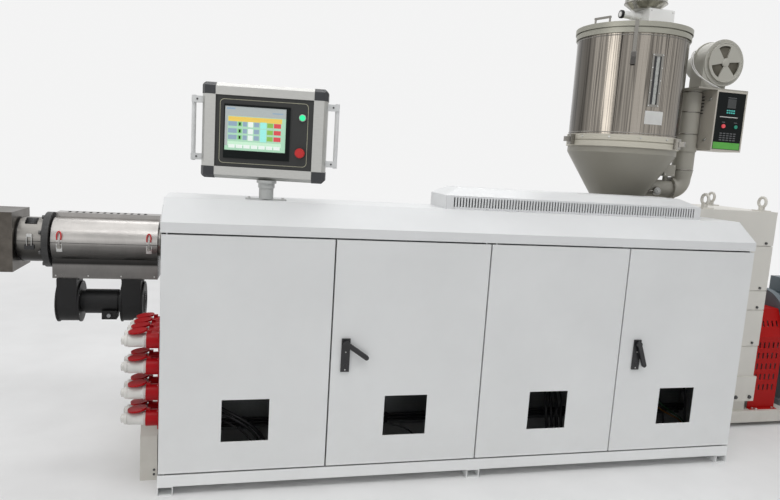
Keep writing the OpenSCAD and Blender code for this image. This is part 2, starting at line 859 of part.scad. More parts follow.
// Upper cover of the second zone
module cover_top_2() {
  color("silver") place() cover_top(1);
}

// Upper cover of the third zone
module cover_top_3() {
  color("silver") place() cover_top(2);
}

// Upper cover of the fourth zone
module cover_top_4() {
  if (zones > 3) color("silver") place() cover_top(3);
}

// Upper cover of the zone next to the hopper
module cover_top_5() {
  if (zones > 4) color("silver") place() cover_top(4);
}

// One fan housing from its left face, with an intake and two rim flanges
module fan_housing(x0) {
  difference() {
    union() {
      rod_x(x0 + 3, x0 + fan_w - 3, axis_y, fan_z, fan_r - 5);
      rod_x(x0, x0 + 6, axis_y, fan_z, fan_r);
      rod_x(x0 + fan_w - 6, x0 + fan_w, axis_y, fan_z, fan_r);
      box(x0 + 8, x0 + fan_w - 8, axis_y - fan_r + 5, axis_y + 44, fan_z, plenum_z0);
      box(x0 + 2, x0 + fan_w - 2, axis_y - 60, axis_y + 52, plenum_z0 - 8, plenum_z0);
    }
    rod_x(x0 - 1, x0 + 40, axis_y, fan_z, fan_r - 46);
    box(x0 + 12, x0 + fan_w - 12, axis_y - 36, axis_y + 36, fan_z + 60, plenum_z0 + 1);
  }
  rod_x(x0 + 14, x0 + 41, axis_y, fan_z, 22);
}

// Twin fans under each air box with the motor between them
module blowers() {
  color("dimgray") place()
    for (k = [0:zones - 1]) {
      x0 = cover_x0 + k * zone_gap;
      xa = x0 + fan_a + fan_w;
      xb = x0 + fan_b;
      fan_housing(x0 + fan_a);
      translate([2 * xb + fan_w, 0, 0]) mirror([1, 0, 0]) fan_housing(xb);
      rod_x(xa, xb, axis_y, fan_z, 50);
      rod_x(xa + 16, xb - 16, axis_y, fan_z, 57);
      box(xa + 92, xb - 17, axis_y - 60, axis_y + 10, fan_z - 74, fan_z - 34);
    }
}

// Dark flange at the barrel's end and the thin ring before the die
module die_flange() {
  color("dimgray") place() difference() {
    union() {
      rod_x(flange_x0, flange_x1, axis_y, axis_z, flange_r);
      rod_x(die_x1, collar_x0, axis_y, axis_z, 88);
    }
    rod_x(flange_x0 - 1, flange_x1 + 1, axis_y, axis_z, bore_r);
    rod_x(die_x1 - 1, collar_x0 + 1, axis_y, axis_z, 60.3);
  }
}

// Stainless collar over the joint between flange and die
module die_collar() {
  color("silver") place() difference() {
    rod_x(collar_x0, flange_x0, axis_y, axis_z, 101);
    rod_x(collar_x0 + skin, flange_x0 - skin, axis_y, axis_z, 99);
    rod_x(collar_x0 - 1, flange_x0 + 1, axis_y, axis_z, 60.3);
  }
}

// Square die adapter with its neck and bolt circle
module die_block() {
  h = die_side / 2;
  color("gray") place() difference() {
    union() {
      box(die_x0, die_x1, axis_y - h, axis_y + h, axis_z - h, axis_z + h);
      rod_x(die_x1, flange_x0, axis_y, axis_z, 60);
    }
    rod_x(die_x0 - 1, flange_x0 + 1, axis_y, axis_z, bore_r);
    for (a = [22.5:45:337.5])
      rod_x(die_x0 - 1, die_x0 + 40, axis_y + 90 * cos(a), axis_z + 90 * sin(a), 8);
  }
}

// Outline of the hopper cone's outside, grown by an amount
module cone_outline(grow) {
  polygon([
    [0, cone_z0], [throat_r + grow, cone_z0], [knee_r + grow, knee_z],
    [drum_r - 1 + grow, neck_z], [drum_r - 1 + grow, ring_z0], [0, ring_z0]
  ]);
}

// Throat, two part cone and clamping ring under the drum
module hopper_cone() {
  color("tan") place() difference() {
    union() {
      box(hop_x - 90, hop_x + 90, axis_y - 90, axis_y + 90, throat_z, throat_z + 14);
      rod_z(hop_x, axis_y, throat_z, cone_z0, throat_r);
      translate([hop_x, axis_y, 0]) rotate_extrude() cone_outline(0);
      rod_z(hop_x, axis_y, ring_z0, ring_z0 + 28, drum_r + 8);
      rod_z(hop_x, axis_y, ring_z0 + 28, ring_z0 + 33, drum_r + 2);
      rod_z(hop_x, axis_y, ring_z0 + 33, drum_z, drum_r + 8);
    }
    rod_z(hop_x, axis_y, throat_z - 1, cone_z0 + 1, throat_r - 10);
    translate([hop_x, axis_y, 0]) rotate_extrude() cone_outline(-4);
    rod_z(hop_x, axis_y, ring_z0 - 1, drum_z + 1, drum_r - 5);
    rod_x(hop_x, hop_x + drum_r, axis_y, duct_z, duct_r - 4);
  }
}

// Mirror finished drum with the window of its sight glass
module hopper_drum() {
  color("silver") place() difference() {
    rod_z(hop_x, axis_y, drum_z, rim_z, drum_r);
    rod_z(hop_x, axis_y, drum_z - 1, rim_z + 1, drum_r - wall);
    on_drum(sight_a) box(drum_r - 20, drum_r + 1, 12 - sight_w / 2, sight_w / 2 - 12,
                         sight_z0 + 12, sight_z1 - 12);
  }
}

// Turns a piece about the drum's axis, its X pointing outwards at an angle
module on_drum(a) {
  translate([hop_x, axis_y, 0]) rotate([0, 0, a]) children();
}

// Two stepped rims and the flat lid
module hopper_lid() {
  color("silver") place() {
    rod_z(hop_x, axis_y, rim_z, rim_z + 24, drum_r + 8);
    rod_z(hop_x, axis_y, rim_z + 24, rim_z + 29, drum_r + 2);
    rod_z(hop_x, axis_y, rim_z + 29, lid_z1, drum_r + 13);
  }
}

// Sight glass frame, toggle latches, lid handles and the ring's clamps
module hopper_fittings() {
  color("silver") place() {
    difference() {
      intersection() {
        rod_z(hop_x, axis_y, sight_z0, sight_z1, drum_r + 4);
        on_drum(sight_a) box(drum_r - 20, drum_r + 5, -sight_w / 2, sight_w / 2,
                             sight_z0 - 1, sight_z1 + 1);
      }
      rod_z(hop_x, axis_y, sight_z0 - 1, sight_z1 + 1, drum_r);
      on_drum(sight_a) box(drum_r - 20, drum_r + 5, 12 - sight_w / 2, sight_w / 2 - 12,
                           sight_z0 + 12, sight_z1 - 12);
    }
    for (a = [-120.5, -0.5, 119.5]) {
      difference() {
        on_drum(a) box(drum_r - 6, drum_r + 8, -14, 14, rim_z - 152, rim_z - 92);
        rod_z(hop_x, axis_y, drum_z, rim_z, drum_r);
      }
      on_drum(a) {
        box(drum_r + 8, drum_r + 17, -9, 9, rim_z - 146, rim_z - 98);
        box(drum_r + 13, drum_r + 17, -9, 9, rim_z - 146, lid_z1);
        box(drum_r - 6, drum_r + 17, -9, 9, lid_z1, lid_z1 + 4);
      }
    }
    for (a = [-158.2, 21.8])
      on_drum(a) {
        for (y = [-44, 44])
          translate([drum_r - 16, y, lid_z1]) cylinder(h = 28, r = 5);
        box(drum_r - 21, drum_r - 11, -49, 49, lid_z1 + 24, lid_z1 + 34);
      }
    for (a = [180, 60, -60])
      difference() {
        on_drum(a) {
          box(drum_r, drum_r + 34, -16, 16, ring_z0 + 4, drum_z - 4);
          box(drum_r + 34, drum_r + 60, -11, 11, ring_z0 + 18, drum_z - 18);
        }
        rod_z(hop_x, axis_y, ring_z0, drum_z, drum_r + 8);
      }
  }
}

// Pane behind the frame of the sight glass
module sight_glass() {
  color("white") place() intersection() {
    difference() {
      rod_z(hop_x, axis_y, sight_z0, sight_z1, drum_r);
      rod_z(hop_x, axis_y, sight_z0 - 1, sight_z1 + 1, drum_r - wall);
    }
    on_drum(sight_a) box(drum_r - 20, drum_r + 1, 12 - sight_w / 2, sight_w / 2 - 12,
                         sight_z0 + 12, sight_z1 - 12);
  }
}

// Inlet box of the suction loader on the lid, with its hose stub
module loader_box() {
  color("white") place() {
    box(hop_x + 32, hop_x + 184, axis_y - 76, axis_y + 76, lid_z1, load_z0);
    rod_x(hop_x - 92, hop_x + 33, axis_y, lid_z1 + 85, 19);
    rod_x(hop_x - 30, hop_x - 16, axis_y, lid_z1 + 85, 23);
  }
}

// Round vessel of the suction loader and its head
module loader() {
  lx = hop_x + 55;
  z1 = load_z0 + 30;
  z2 = z1 + load_h;
  color("silver") place() {
    translate([lx, axis_y, load_z0]) cylinder(h = 30, r1 = load_r - 38, r2 = load_r);
    rod_z(lx, axis_y, z1, z2, load_r);
    rod_z(lx, axis_y, z2, z2 + 12, load_r + 8);
    translate([lx, axis_y, z2 + 12]) cylinder(h = 34, r1 = load_r, r2 = load_r - 40);
    rod_z(lx, axis_y, z2 + 46, z2 + 110, load_r - 48);
  }
}

// Shelf of the dryer with its brackets to the drum and the tube clamp
module dryer_shelf() {
  clamp_z = duct_z + 225;
  color("tan") place() {
    difference() {
      union() {
        box(duct_x - tube_r, ctl_x0 + ctl_w, ctl_y0, ctl_y0 + ctl_d,
            shelf_z, shelf_z + shelf_t);
        box(hop_x + drum_r - 20, duct_x - tube_r - 4, axis_y - 20, axis_y + 20,
            shelf_z - 40, shelf_z + shelf_t);
        box(duct_x - tube_r - 4, duct_x - tube_r + 20, axis_y - 60, axis_y + 60,
            shelf_z, shelf_z + shelf_t);
      }
      rod_z(hop_x, axis_y, shelf_z - 60, shelf_z + 60, drum_r + 0.3);
      rod_z(duct_x, axis_y, shelf_z - 60, shelf_z + 60, tube_r + 0.3);
    }
    difference() {
      union() {
        rod_z(duct_x, axis_y, clamp_z - 12, clamp_z + 12, tube_r + clamp_t);
        box(hop_x + drum_r - 10, duct_x, axis_y - 15, axis_y + 15, clamp_z - 12, clamp_z + 12);
      }
      rod_z(hop_x, axis_y, ring_z0 - 1, drum_z + 0.3, drum_r + 8.3);
      rod_z(hop_x, axis_y, ring_z0, rim_z, drum_r + 0.3);
      rod_z(duct_x, axis_y, clamp_z - 20, clamp_z + 20, tube_r + 0.3);
    }
  }
}

// Outline of one sector opening in the fan's intake disc
module intake_sector() {
  polygon([[0, 0], [blow_r, blow_r * tan(26)], [blow_r, -blow_r * tan(26)]]);
}

// Dryer fan with rim bands, intake disc with three openings, outlet and motor
module dryer_fan() {
  y0 = ctl_y0 + 28;
  y1 = ctl_y0 + 135;
  top = shelf_z + shelf_t;
  color("white") place() {
    difference() {
      union() {
        rod_y(blow_x, y0 + 2, y1 - 2, blow_z, blow_r - 5);
        rod_y(blow_x, y0, y0 + 8, blow_z, blow_r);
        rod_y(blow_x, y1 - 8, y1, blow_z, blow_r);
        rod_y(blow_x, y0 - 12, y0 + 2, blow_z, blow_r - 20);
        box(blow_x - blow_r, blow_x - 30, y0 + 4, y1 - 4, top, blow_z);
      }
      for (a = [100, 220, 340])
        intersection() {
          difference() {
            rod_y(blow_x, y0 - 13, y0 + 40, blow_z, blow_r - 36);
            rod_y(blow_x, y0 - 14, y0 + 41, blow_z, 20);
          }
          translate([blow_x, y0 + 50, blow_z]) rotate([90, -a, 0])
            linear_extrude(height = 70) intake_sector();
        }
    }
    rod_y(blow_x, y1, y1 + 120, blow_z, 66);
    box(blow_x - 35, blow_x + 35, y0 + 12, y1 - 12, top, blow_z - blow_r + 20);
  }
}

// Heater tube down from the shelf, elbow and duct into the cone
module dryer_duct() {
  bend_z = duct_z + bend_r;
  stub_x = duct_x - bend_r;
  color("tan") place() difference() {
    union() {
      rod_z(duct_x, axis_y, bend_z + 40, shelf_z + shelf_t, tube_r);
      translate([duct_x, axis_y, bend_z]) cylinder(h = 40, r1 = duct_r + 4, r2 = tube_r);
      translate([stub_x, axis_y, bend_z]) rotate([90, 0, 0]) rotate([0, 0, -90])
        rotate_extrude(angle = 90) translate([bend_r, 0]) circle(r = duct_r + 4);
      rod_x(stub_x - 16, stub_x, axis_y, duct_z, duct_r + 18);
      rod_x(hop_x + throat_r, stub_x - 8, axis_y, duct_z, duct_r);
      rod_z(stub_x - 43, axis_y, duct_z, duct_z + duct_r + 24, 14);
      box(stub_x - 78, stub_x - 8, axis_y - 35, axis_y + 35,
          duct_z + duct_r + 22, duct_z + duct_r + 87);
    }
    translate([hop_x, axis_y, 0]) rotate_extrude() cone_outline(0.3);
    rod_x(hop_x, stub_x, axis_y, duct_z, duct_r - 4);
  }
}

// Control box of the dryer with side louvres and a recessed front
module dryer_box() {
  x1 = ctl_x0 + ctl_w;
  y1 = ctl_y0 + ctl_d;
  color("gainsboro") place() difference() {
    box(ctl_x0, x1, ctl_y0, y1, ctl_z0, shelf_z);
    box(ctl_x0 + 8, x1 - 8, ctl_y0 - 1, ctl_y0 + 3, ctl_z0 + 9, shelf_z - 9);
    for (x = [ctl_x0 - 1, x1 - 3], k = [0:5])
      box(x, x + 4, y1 - 66, y1 - 10, shelf_z - 34 - k * 18, shelf_z - 28 - k * 18);
  }
}

cabinet_feet();
cabinet_shell();
cabinet_top();
equipment_plate();
door_1();
door_2();
door_3();
door_4();
lock_2();
lock_4();
lever_2();
lever_4();
vent_cover();
sockets();
plugs();
panel_post();
swivel_head();
panel_frame();
panel_corners();
panel_face();
panel_handles();
start_button();
stop_button();
base_frame();
barrel_stands();
gearbox();
coupling_guard();
motor();
feed_section();
barrel();
heater_bands();
cover_bottoms();
cover_top_1();
cover_top_2();
cover_top_3();
cover_top_4();
cover_top_5();
blowers();
die_flange();
die_collar();
die_block();
hopper_cone();
hopper_drum();
hopper_lid();
hopper_fittings();
sight_glass();
loader_box();
loader();
dryer_shelf();
dryer_fan();
dryer_duct();
dryer_box();
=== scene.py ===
"""Plastic extruder: looks, small fittings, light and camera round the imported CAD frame."""
import math

import bmesh
import bpy
from mathutils import Matrix, Vector


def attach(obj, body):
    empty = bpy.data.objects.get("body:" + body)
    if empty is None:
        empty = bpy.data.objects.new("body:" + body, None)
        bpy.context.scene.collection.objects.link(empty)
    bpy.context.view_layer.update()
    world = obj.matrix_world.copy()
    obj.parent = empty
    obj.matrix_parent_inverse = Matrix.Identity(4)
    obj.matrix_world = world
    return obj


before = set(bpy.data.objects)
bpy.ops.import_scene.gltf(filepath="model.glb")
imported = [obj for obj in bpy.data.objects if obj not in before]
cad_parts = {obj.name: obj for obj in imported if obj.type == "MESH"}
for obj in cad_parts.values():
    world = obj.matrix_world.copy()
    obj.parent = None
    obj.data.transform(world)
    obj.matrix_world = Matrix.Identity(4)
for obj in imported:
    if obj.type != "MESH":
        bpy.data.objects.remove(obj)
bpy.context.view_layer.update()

# Sizes of the CAD source, in millimetres from the cabinet's lower left front corner
SHIFT = (-1625.0, -566.0)
CAB_W, CAB_D, CAB_H = 2700.0, 390.0, 1198.0
DOORS = 4
DOOR_W = CAB_W / DOORS
CUT_W, CUT_H, CUT_TOP = 190.0, 178.0, 399.0
CAB_FLOOR, PLATE_Y = 41.6, 330.0
VENT_X, VENT_W, VENT_Y = 1178.0, 1312.0, 150.0
SOCK_Y, SOCK_Z, SOCK_COL, SOCK_ROW = 58, 634, 82, 107
AXIS_Y, AXIS_Z = 650.0, 940.0
COVER_X0, COVER_LEN, COVER_R, ZONE_GAP, ZONES = -514.0, 449.0, 106.0, 522.0, 5
HOP_X, DRUM_R, DRUM_Z, RIM_Z, LID_Z = 2335.0, 285.0, 1597.0, 2099.0, 2153.0
FEED_X0 = 2185.0
GEAR_X0, GEAR_X1, GEAR_Y0, GEAR_Y1, GEAR_H = 2690.0, 3190.0, 400.0, 900.0, 1240.0
MOTOR_X0, MOTOR_X1, MOTOR_Z, MOTOR_R = 3400.0, 4120.0, 560.0, 190.0
BASE_H, BASE_X1, BASE_Y0, BASE_Y1 = 92.0, 4150.0, 396.0, 904.0
BEAM_H, BEAM_X1, BEAM_T, BEAM_HALF = 240, -14.0, 12, 507
POST_X, POST_Y, PAN_Z, PAN_TURN = 400.0, 204.0, 1472.0, math.radians(-10.6)
PAN_W, PAN_H, PAN_D, PAN_ASIDE = 510.0, 386.0, 90.0, 12
FAN_Z, FAN_R, FAN_A, FAN_B, FAN_W = 653.0, 96.0, 12.0, 286.0, 100.0
AIR_BOX_Y, AIR_BOX_Z, FAN_NECK_Y, FAN_NECK_Z = AXIS_Y - 74, 786, AXIS_Y - 60, 770
DUCT_X, DUCT_Z, DUCT_R, TUBE_R, BEND_R = 2738.0, 1330.0, 48.0, 58.0, 60.0
CTL_X0, CTL_Y0, CTL_W, CTL_D, CTL_H, SHELF_Z = 2802.0, 520.0, 195.0, 160.0, 325.0, 1880.0
BLOW_X, BLOW_Y0, BLOW_Z, BLOW_R = 2842.0, 548.0, 2028.0, 124.0
LOAD_X, LOAD_R, LOAD_BOX, LOAD_BOX_H, LOAD_H, STUB_X = 2390.0, 108.0, (2367, 2519), 117, 260, 2243
THERMO = (2550, 1315)
EYE = (250.0, -2589.0, 1405.0)

LEFT, RIGHT, FRONT, BACK, UP = (-1, 0, 0), (1, 0, 0), (0, -1, 0), (0, 1, 0), (0, 0, 1)


# ---------------------------------------------------------------- places
def at(x, y, z):
    """A point of the CAD source in the row frame, in metres."""
    return Vector(((x + SHIFT[0]) / 1000, (y + SHIFT[1]) / 1000, z / 1000))


def barrel_at(x, y, z):
    """A point with its y and z measured from the barrel's axis."""
    return at(x, AXIS_Y + y, AXIS_Z + z)


def control_at(x, y, z):
    """A point measured from the upper left front corner of the dryer's control box."""
    return at(CTL_X0 + x, CTL_Y0 + y, SHELF_Z + z)


def fan_at(x, y, z):
    """A point measured from the middle of the dryer fan's intake disc."""
    return at(BLOW_X + x, BLOW_Y0 + y, BLOW_Z + z)


def panel_at(x, y, z):
    """A point in the turned panel's own axes."""
    x -= PAN_ASIDE
    c, s = math.cos(PAN_TURN), math.sin(PAN_TURN)
    return at(POST_X + x * c - y * s, POST_Y + x * s + y * c, PAN_Z + z)


def on_drum(out, a, z):
    """A point so far outside the hopper drum's face, at an angle in degrees."""
    a = math.radians(a)
    return (HOP_X + (DRUM_R + out) * math.cos(a), AXIS_Y + (DRUM_R + out) * math.sin(a), z)


def around(n, start=0):
    """Cosine and sine of n even turns from a start in degrees."""
    turns = [math.radians(start + i * 360 / n) for i in range(n)]
    return [(math.cos(a), math.sin(a)) for a in turns]


def circle(centre, r, n, plane):
    """Points round a centre in a plane named by its two axes, such as xz."""
    points = []
    for i in range(n):
        p = list(centre)
        p["xyz".index(plane[0])] += r * math.cos(i * math.tau / n)
        p["xyz".index(plane[1])] += r * math.sin(i * math.tau / n)
        points.append(p)
    return points


# ---------------------------------------------------------------- materials
class Nodes:
    """Small builder for one node tree."""

    def __init__(self, tree):
        self.tree = tree
        self.tree.nodes.clear()

    def node(self, kind, **props):
        n = self.tree.nodes.new("ShaderNode" + kind)
        for key, value in props.items():
            setattr(n, key, value)
        return n

    def link(self, a, b):
        self.tree.links.new(a, b)

    def put(self, sock, v):
        """Give a socket a number, a colour or a link."""
        if isinstance(v, (int, float)):
            sock.default_value = v
        elif isinstance(v, tuple):
            sock.default_value = (*v, 1)
        else:
            self.link(v, sock)

    def ramp(self, fac, stops):
        n = self.node("ValToRGB")
        ramp = n.color_ramp
        while len(ramp.elements) < len(stops):
            ramp.elements.new(0.5)
        for e, (pos, col) in zip(ramp.elements, stops):
            e.position = pos
            e.color = (col, col, col, 1) if isinstance(col, (int, float)) else (*col, 1)
        self.link(fac, n.inputs["Fac"])
        return n.outputs["Color"]

    def mix(self, fac, a, b, blend="MIX"):
        n = self.node("Mix", data_type="RGBA", blend_type=blend)
        for i, v in ((0, fac), (6, a), (7, b)):
            self.put(n.inputs[i], v)
        return n.outputs[2]

    def math(self, op, a, b=0.0):
        n = self.node("Math", operation=op, use_clamp=op == "MULTIPLY")
        self.put(n.inputs[0], a)
        self.put(n.inputs[1], b)
        return n.outputs[0]

    def vector(self, op, a, b=None):
        n = self.node("VectorMath", operation=op)
        self.link(a, n.inputs[0])
        if b is not None:
            n.inputs[1].default_value = b
        return n.outputs["Value" if op in ("DOT_PRODUCT", "LENGTH") else "Vector"]

    def split(self, vector):
        n = self.node("SeparateXYZ")
        self.link(vector, n.inputs[0])
        return n.outputs

    def span(self, value, a, b, c=0.0, d=1.0):
        n = self.node("MapRange")
        for i, v in enumerate((a, b, c, d)):
            n.inputs[i + 1].default_value = v
        self.link(value, n.inputs[0])
        return n.outputs[0]

    def glow(self, kind, color, strength):
        n = self.node(kind)
        self.put(n.inputs["Color"], color)
        n.inputs["Strength"].default_value = strength
        return n.outputs[0]

    def blend(self, fac, a, b, out):
        """Put a blend of two shaders on an output node."""
        n = self.node("MixShader")
        for i, v in enumerate((fac, a, b)):
            self.link(v, n.inputs[i])
        self.link(n.outputs[0], out.inputs["Surface"])

    def seen(self):
        """1 for the rays that show the background: from the camera, a mirror or through glass."""
        rays = self.node("LightPath").outputs
        return self.math("MAXIMUM", rays["Is Camera Ray"],
                         self.math("MAXIMUM", rays["Is Glossy Ray"], rays["Is Transmission Ray"]))


class Shade(Nodes):
    """Builder for one node material in object coordinates."""

    def __init__(self, name):
        self.mat = bpy.data.materials.new(name)
        self.mat.use_nodes = True
        super().__init__(self.mat.node_tree)
        self.out = self.node("OutputMaterial")
        self.bsdf = self.node("BsdfPrincipled")
        self.link(self.bsdf.outputs["BSDF"], self.out.inputs["Surface"])
        self.coord = self.node("TexCoord").outputs["Object"]

    def mapped(self, scale=(1, 1, 1)):
        n = self.node("Mapping")
        n.inputs["Scale"].default_value = scale
        self.link(self.coord, n.inputs["Vector"])
        return n.outputs["Vector"]

    def noise(self, vector, scale, detail=3.0, rough=0.55, distortion=0.0):
        n = self.node("TexNoise")
        values = {"Scale": scale, "Detail": detail, "Roughness": rough, "Distortion": distortion}
        for key, v in values.items():
            n.inputs[key].default_value = v
        self.link(vector, n.inputs["Vector"])
        return n.outputs["Fac"]

    def shaded(self, tone, shade):
        """Painted light or shade: tone times a curve along a direction: (direction, start, end, stops), in
        metres.
        """
        direction, start, end, stops = shade
        along = self.vector("DOT_PRODUCT", self.coord, direction)
        return self.mix(1.0, tone, self.ramp(self.span(along, start, end), stops), "MULTIPLY")

    def dim_inside(self, tone, low, high, k):
        """Tone times k between two corners, in metres, for the unlit inside of a housing."""
        middle = self.vector("SUBTRACT", self.coord, (low + high) / 2)
        away = self.split(self.vector("ABSOLUTE", middle))
        inside = [self.math("LESS_THAN", away[i], (high[i] - low[i]) / 2) for i in range(3)]
        fac = self.math("MULTIPLY", self.math("MULTIPLY", inside[0], inside[1]), inside[2])
        return self.mix(fac, tone, (k, k, k), "MULTIPLY")

    def bump(self, height, strength, distance):
        n = self.node("Bump")
        n.inputs["Strength"].default_value = strength
        n.inputs["Distance"].default_value = distance
        self.link(height, n.inputs["Height"])
        return n.outputs["Normal"]

    def set(self, **values):
        for key, v in values.items():
            self.put(self.bsdf.inputs[key.replace("_", " ")], v)
        return self.mat


def tint(color, k):
    return tuple(min(1.0, c * k) for c in color)


def paint(name, color, rough=0.42, peel=700.0, dust=0.0, wear=0.0, shade=None, shine=0.5, inside=None):
    """Powder coat or brush paint: orange peel, cloudy tone, floor dust, small marks, and painted light or
    shade where given.
    """
    s = Shade(name)
    v = s.mapped()
    tone = s.ramp(s.noise(v, 2.2, 4, 0.6), [(0.3, tint(color, 0.955)), (0.7, tint(color, 1.02))])
    if dust:
        low = s.span(s.split(s.coord)[2], 0.42, 0.03)
        grime = s.math("MULTIPLY", s.math("MULTIPLY", low, s.noise(v, 14, 5, 0.7)), dust)
        tone = s.mix(grime, tone, (0.42, 0.39, 0.34))
    if wear:
        spots = s.ramp(s.noise(v, 46, 6, 0.72), [(0.70, 0.0), (0.74, 1.0)])
        tone = s.mix(s.math("MULTIPLY", spots, wear), tone, tint(color, 0.5))
    # Painted light and shade: tone times a curve along a direction, and darker in an unlit inside
    if shade:
        tone = s.shaded(tone, shade)
    if inside:
        tone = s.dim_inside(tone, *inside)
    return s.set(Base_Color=tone, Roughness=s.span(s.noise(v, 9, 3), 0.3, 0.7, rough - 0.05, rough + 0.06),
                 Normal=s.bump(s.noise(v, peel, 2, 0.5), 0.08, 0.0004), Specular_IOR_Level=shine)


def plastic(name, color, rough=0.4, grain=900.0, depth=0.1, shine=0.5):
    s = Shade(name)
    v = s.mapped()
    tone = s.ramp(s.noise(v, 12, 3), [(0.3, tint(color, 0.9)), (0.7, tint(color, 1.06))])
    return s.set(Base_Color=tone, Roughness=s.span(s.noise(v, 30, 3), 0.3, 0.7, rough - 0.05, rough + 0.07),
                 Normal=s.bump(s.noise(v, grain, 2), depth, 0.0003), Specular_IOR_Level=shine)


def metal(name, color, rough=0.3, along=(1, 60, 60), streak=(0.9, 1.06), blot=0.0, line=0.12,
          reflection_scale=None, reflection_tones=(0.5, 1.0), reflection_range=(0.38, 0.62), shade=None):
    """Metal with fine lines along one axis, broad soft streaks of painted reflection, painted light or
    shade along a direction where given, blotches and smudges.
    """
    s = Shade(name)
    lines = s.noise(s.mapped(along), 9, 4, 0.6)
    tone = s.ramp(lines, [(0.35, tint(color, streak[0])), (0.65, tint(color, streak[1]))])
    # Painted reflection: broad bright and dark streaks multiplied into the tone
    if reflection_scale:
        reflection_noise = s.noise(s.mapped(reflection_scale), 1.0, 4, 0.6, 0.2)
        a, b = reflection_range
        step = len(reflection_tones) - 1
        reflection_bands = s.ramp(reflection_noise, [(a + (b - a) * i / step, k) for i, k in enumerate(reflection_tones)])
        tone = s.mix(1.0, tone, reflection_bands, "MULTIPLY")
    if blot:
        spots = s.ramp(s.noise(s.mapped(), 11, 4, 0.6), [(0.42, 0.0), (0.75, 1.0)])
        tone = s.mix(s.math("MULTIPLY", spots, blot), tone, tint(color, 0.45))
    if shade:
        tone = s.shaded(tone, shade)
    smudges = s.noise(s.mapped(), 5.0, 3, 0.6)
    return s.set(Base_Color=tone, Normal=s.bump(lines, line, 0.0003), Metallic=1.0,
                 Roughness=s.span(smudges, 0.3, 0.7, rough - 0.04, rough + 0.08))


def screen_paint(name, color, glow=0.6):
    """Lit screen colour with a fine pixel grid."""
    s = Shade(name)
    grid = s.noise(s.mapped((900, 900, 900)), 1.0, 1, 0.5)
    tone = s.ramp(grid, [(0.3, tint(color, 0.92)), (0.7, tint(color, 1.05))])
    return s.set(Base_Color=tone, Emission_Color=tone, Roughness=0.22, Emission_Strength=glow)


def glass_pane(name):
    """Clear pane with the pellets behind it."""
    s = Shade(name)
    v = s.mapped()
    tone = s.ramp(s.noise(v, 60, 5, 0.7), [(0.35, (0.30, 0.31, 0.29)), (0.65, (0.52, 0.53, 0.50))])
    pellets = s.node("TexVoronoi")
    pellets.inputs["Scale"].default_value = 210
    s.link(v, pellets.inputs["Vector"])
    return s.set(Base_Color=tone, Roughness=0.16, Normal=s.bump(pellets.outputs["Distance"], 0.35, 0.002),
                 Coat_Weight=1.0, Coat_Roughness=0.05)


# Painted reflection: the covers' colour follows a curve over height, standing for a bright hall mirrored
# above and a dark floor below
COVER_SHADE = (UP, 0.77, 1.05, [
    (0.0, 0.50), (0.23, 0.50), (0.26, 0.07), (0.32, 0.11), (0.41, 0.20), (0.48, 0.30), (0.56, 0.52),
    (0.63, 1.05), (0.68, 1.45), (0.74, 1.20), (0.80, 1.05), (0.90, 1.00), (1.0, 1.0)])
# Painted reflection: the drum's colour mirrors the hall from side to side, darker towards both edges
DRUM_RIGHT = Vector((math.cos(math.radians(-39)), math.sin(math.radians(-39)), 0))
DRUM_MID = at(HOP_X, AXIS_Y, 0).dot(DRUM_RIGHT)
DRUM_SHADE = (DRUM_RIGHT, DRUM_MID - DRUM_R / 1000, DRUM_MID + DRUM_R / 1000, [
    (0.0, 0.36), (0.16, 0.30), (0.20, 0.48), (0.25, 0.92), (0.40, 0.90), (0.46, 0.62), (0.56, 0.64),
    (0.60, 0.98), (0.68, 1.05), (0.72, 0.82), (0.86, 0.92), (0.93, 0.66), (1.0, 0.45)])
# Painted light: the cabinet's front is drawn brighter near the bottom, for the light it takes from the
# floor, more than the studio gives it
CABINET_SHADE = (UP, 0.0, 1.2, [(0.0, 1.2), (0.08, 1.18), (0.09, 1.08), (0.3, 1.04), (1.0, 0.97)])
# Painted shade: behind the doors the cabinet is unlit, most of all near its floor, so its inside and the
# lower part of the plate are drawn darker
SHELL_INSIDE = (at(1, 1, 40.8), at(CAB_W - 1, CAB_D - 1, 1170), 0.5)
PLATE_SHADE = (UP, 0.0, 1.2, [(0.0, 0.42), (0.27, 0.46), (0.36, 1.0), (1.0, 1.0)])
# The clamping ring at the top of the cone is brighter than the cone: partly its paler satin metal, partly a
# painted highlight for the more frontal light on it
CONE_SHADE = (UP, 1.52, 1.55, [(0.0, 1.0), (0.45, 1.0), (0.5, 1.9), (1.0, 1.9)])

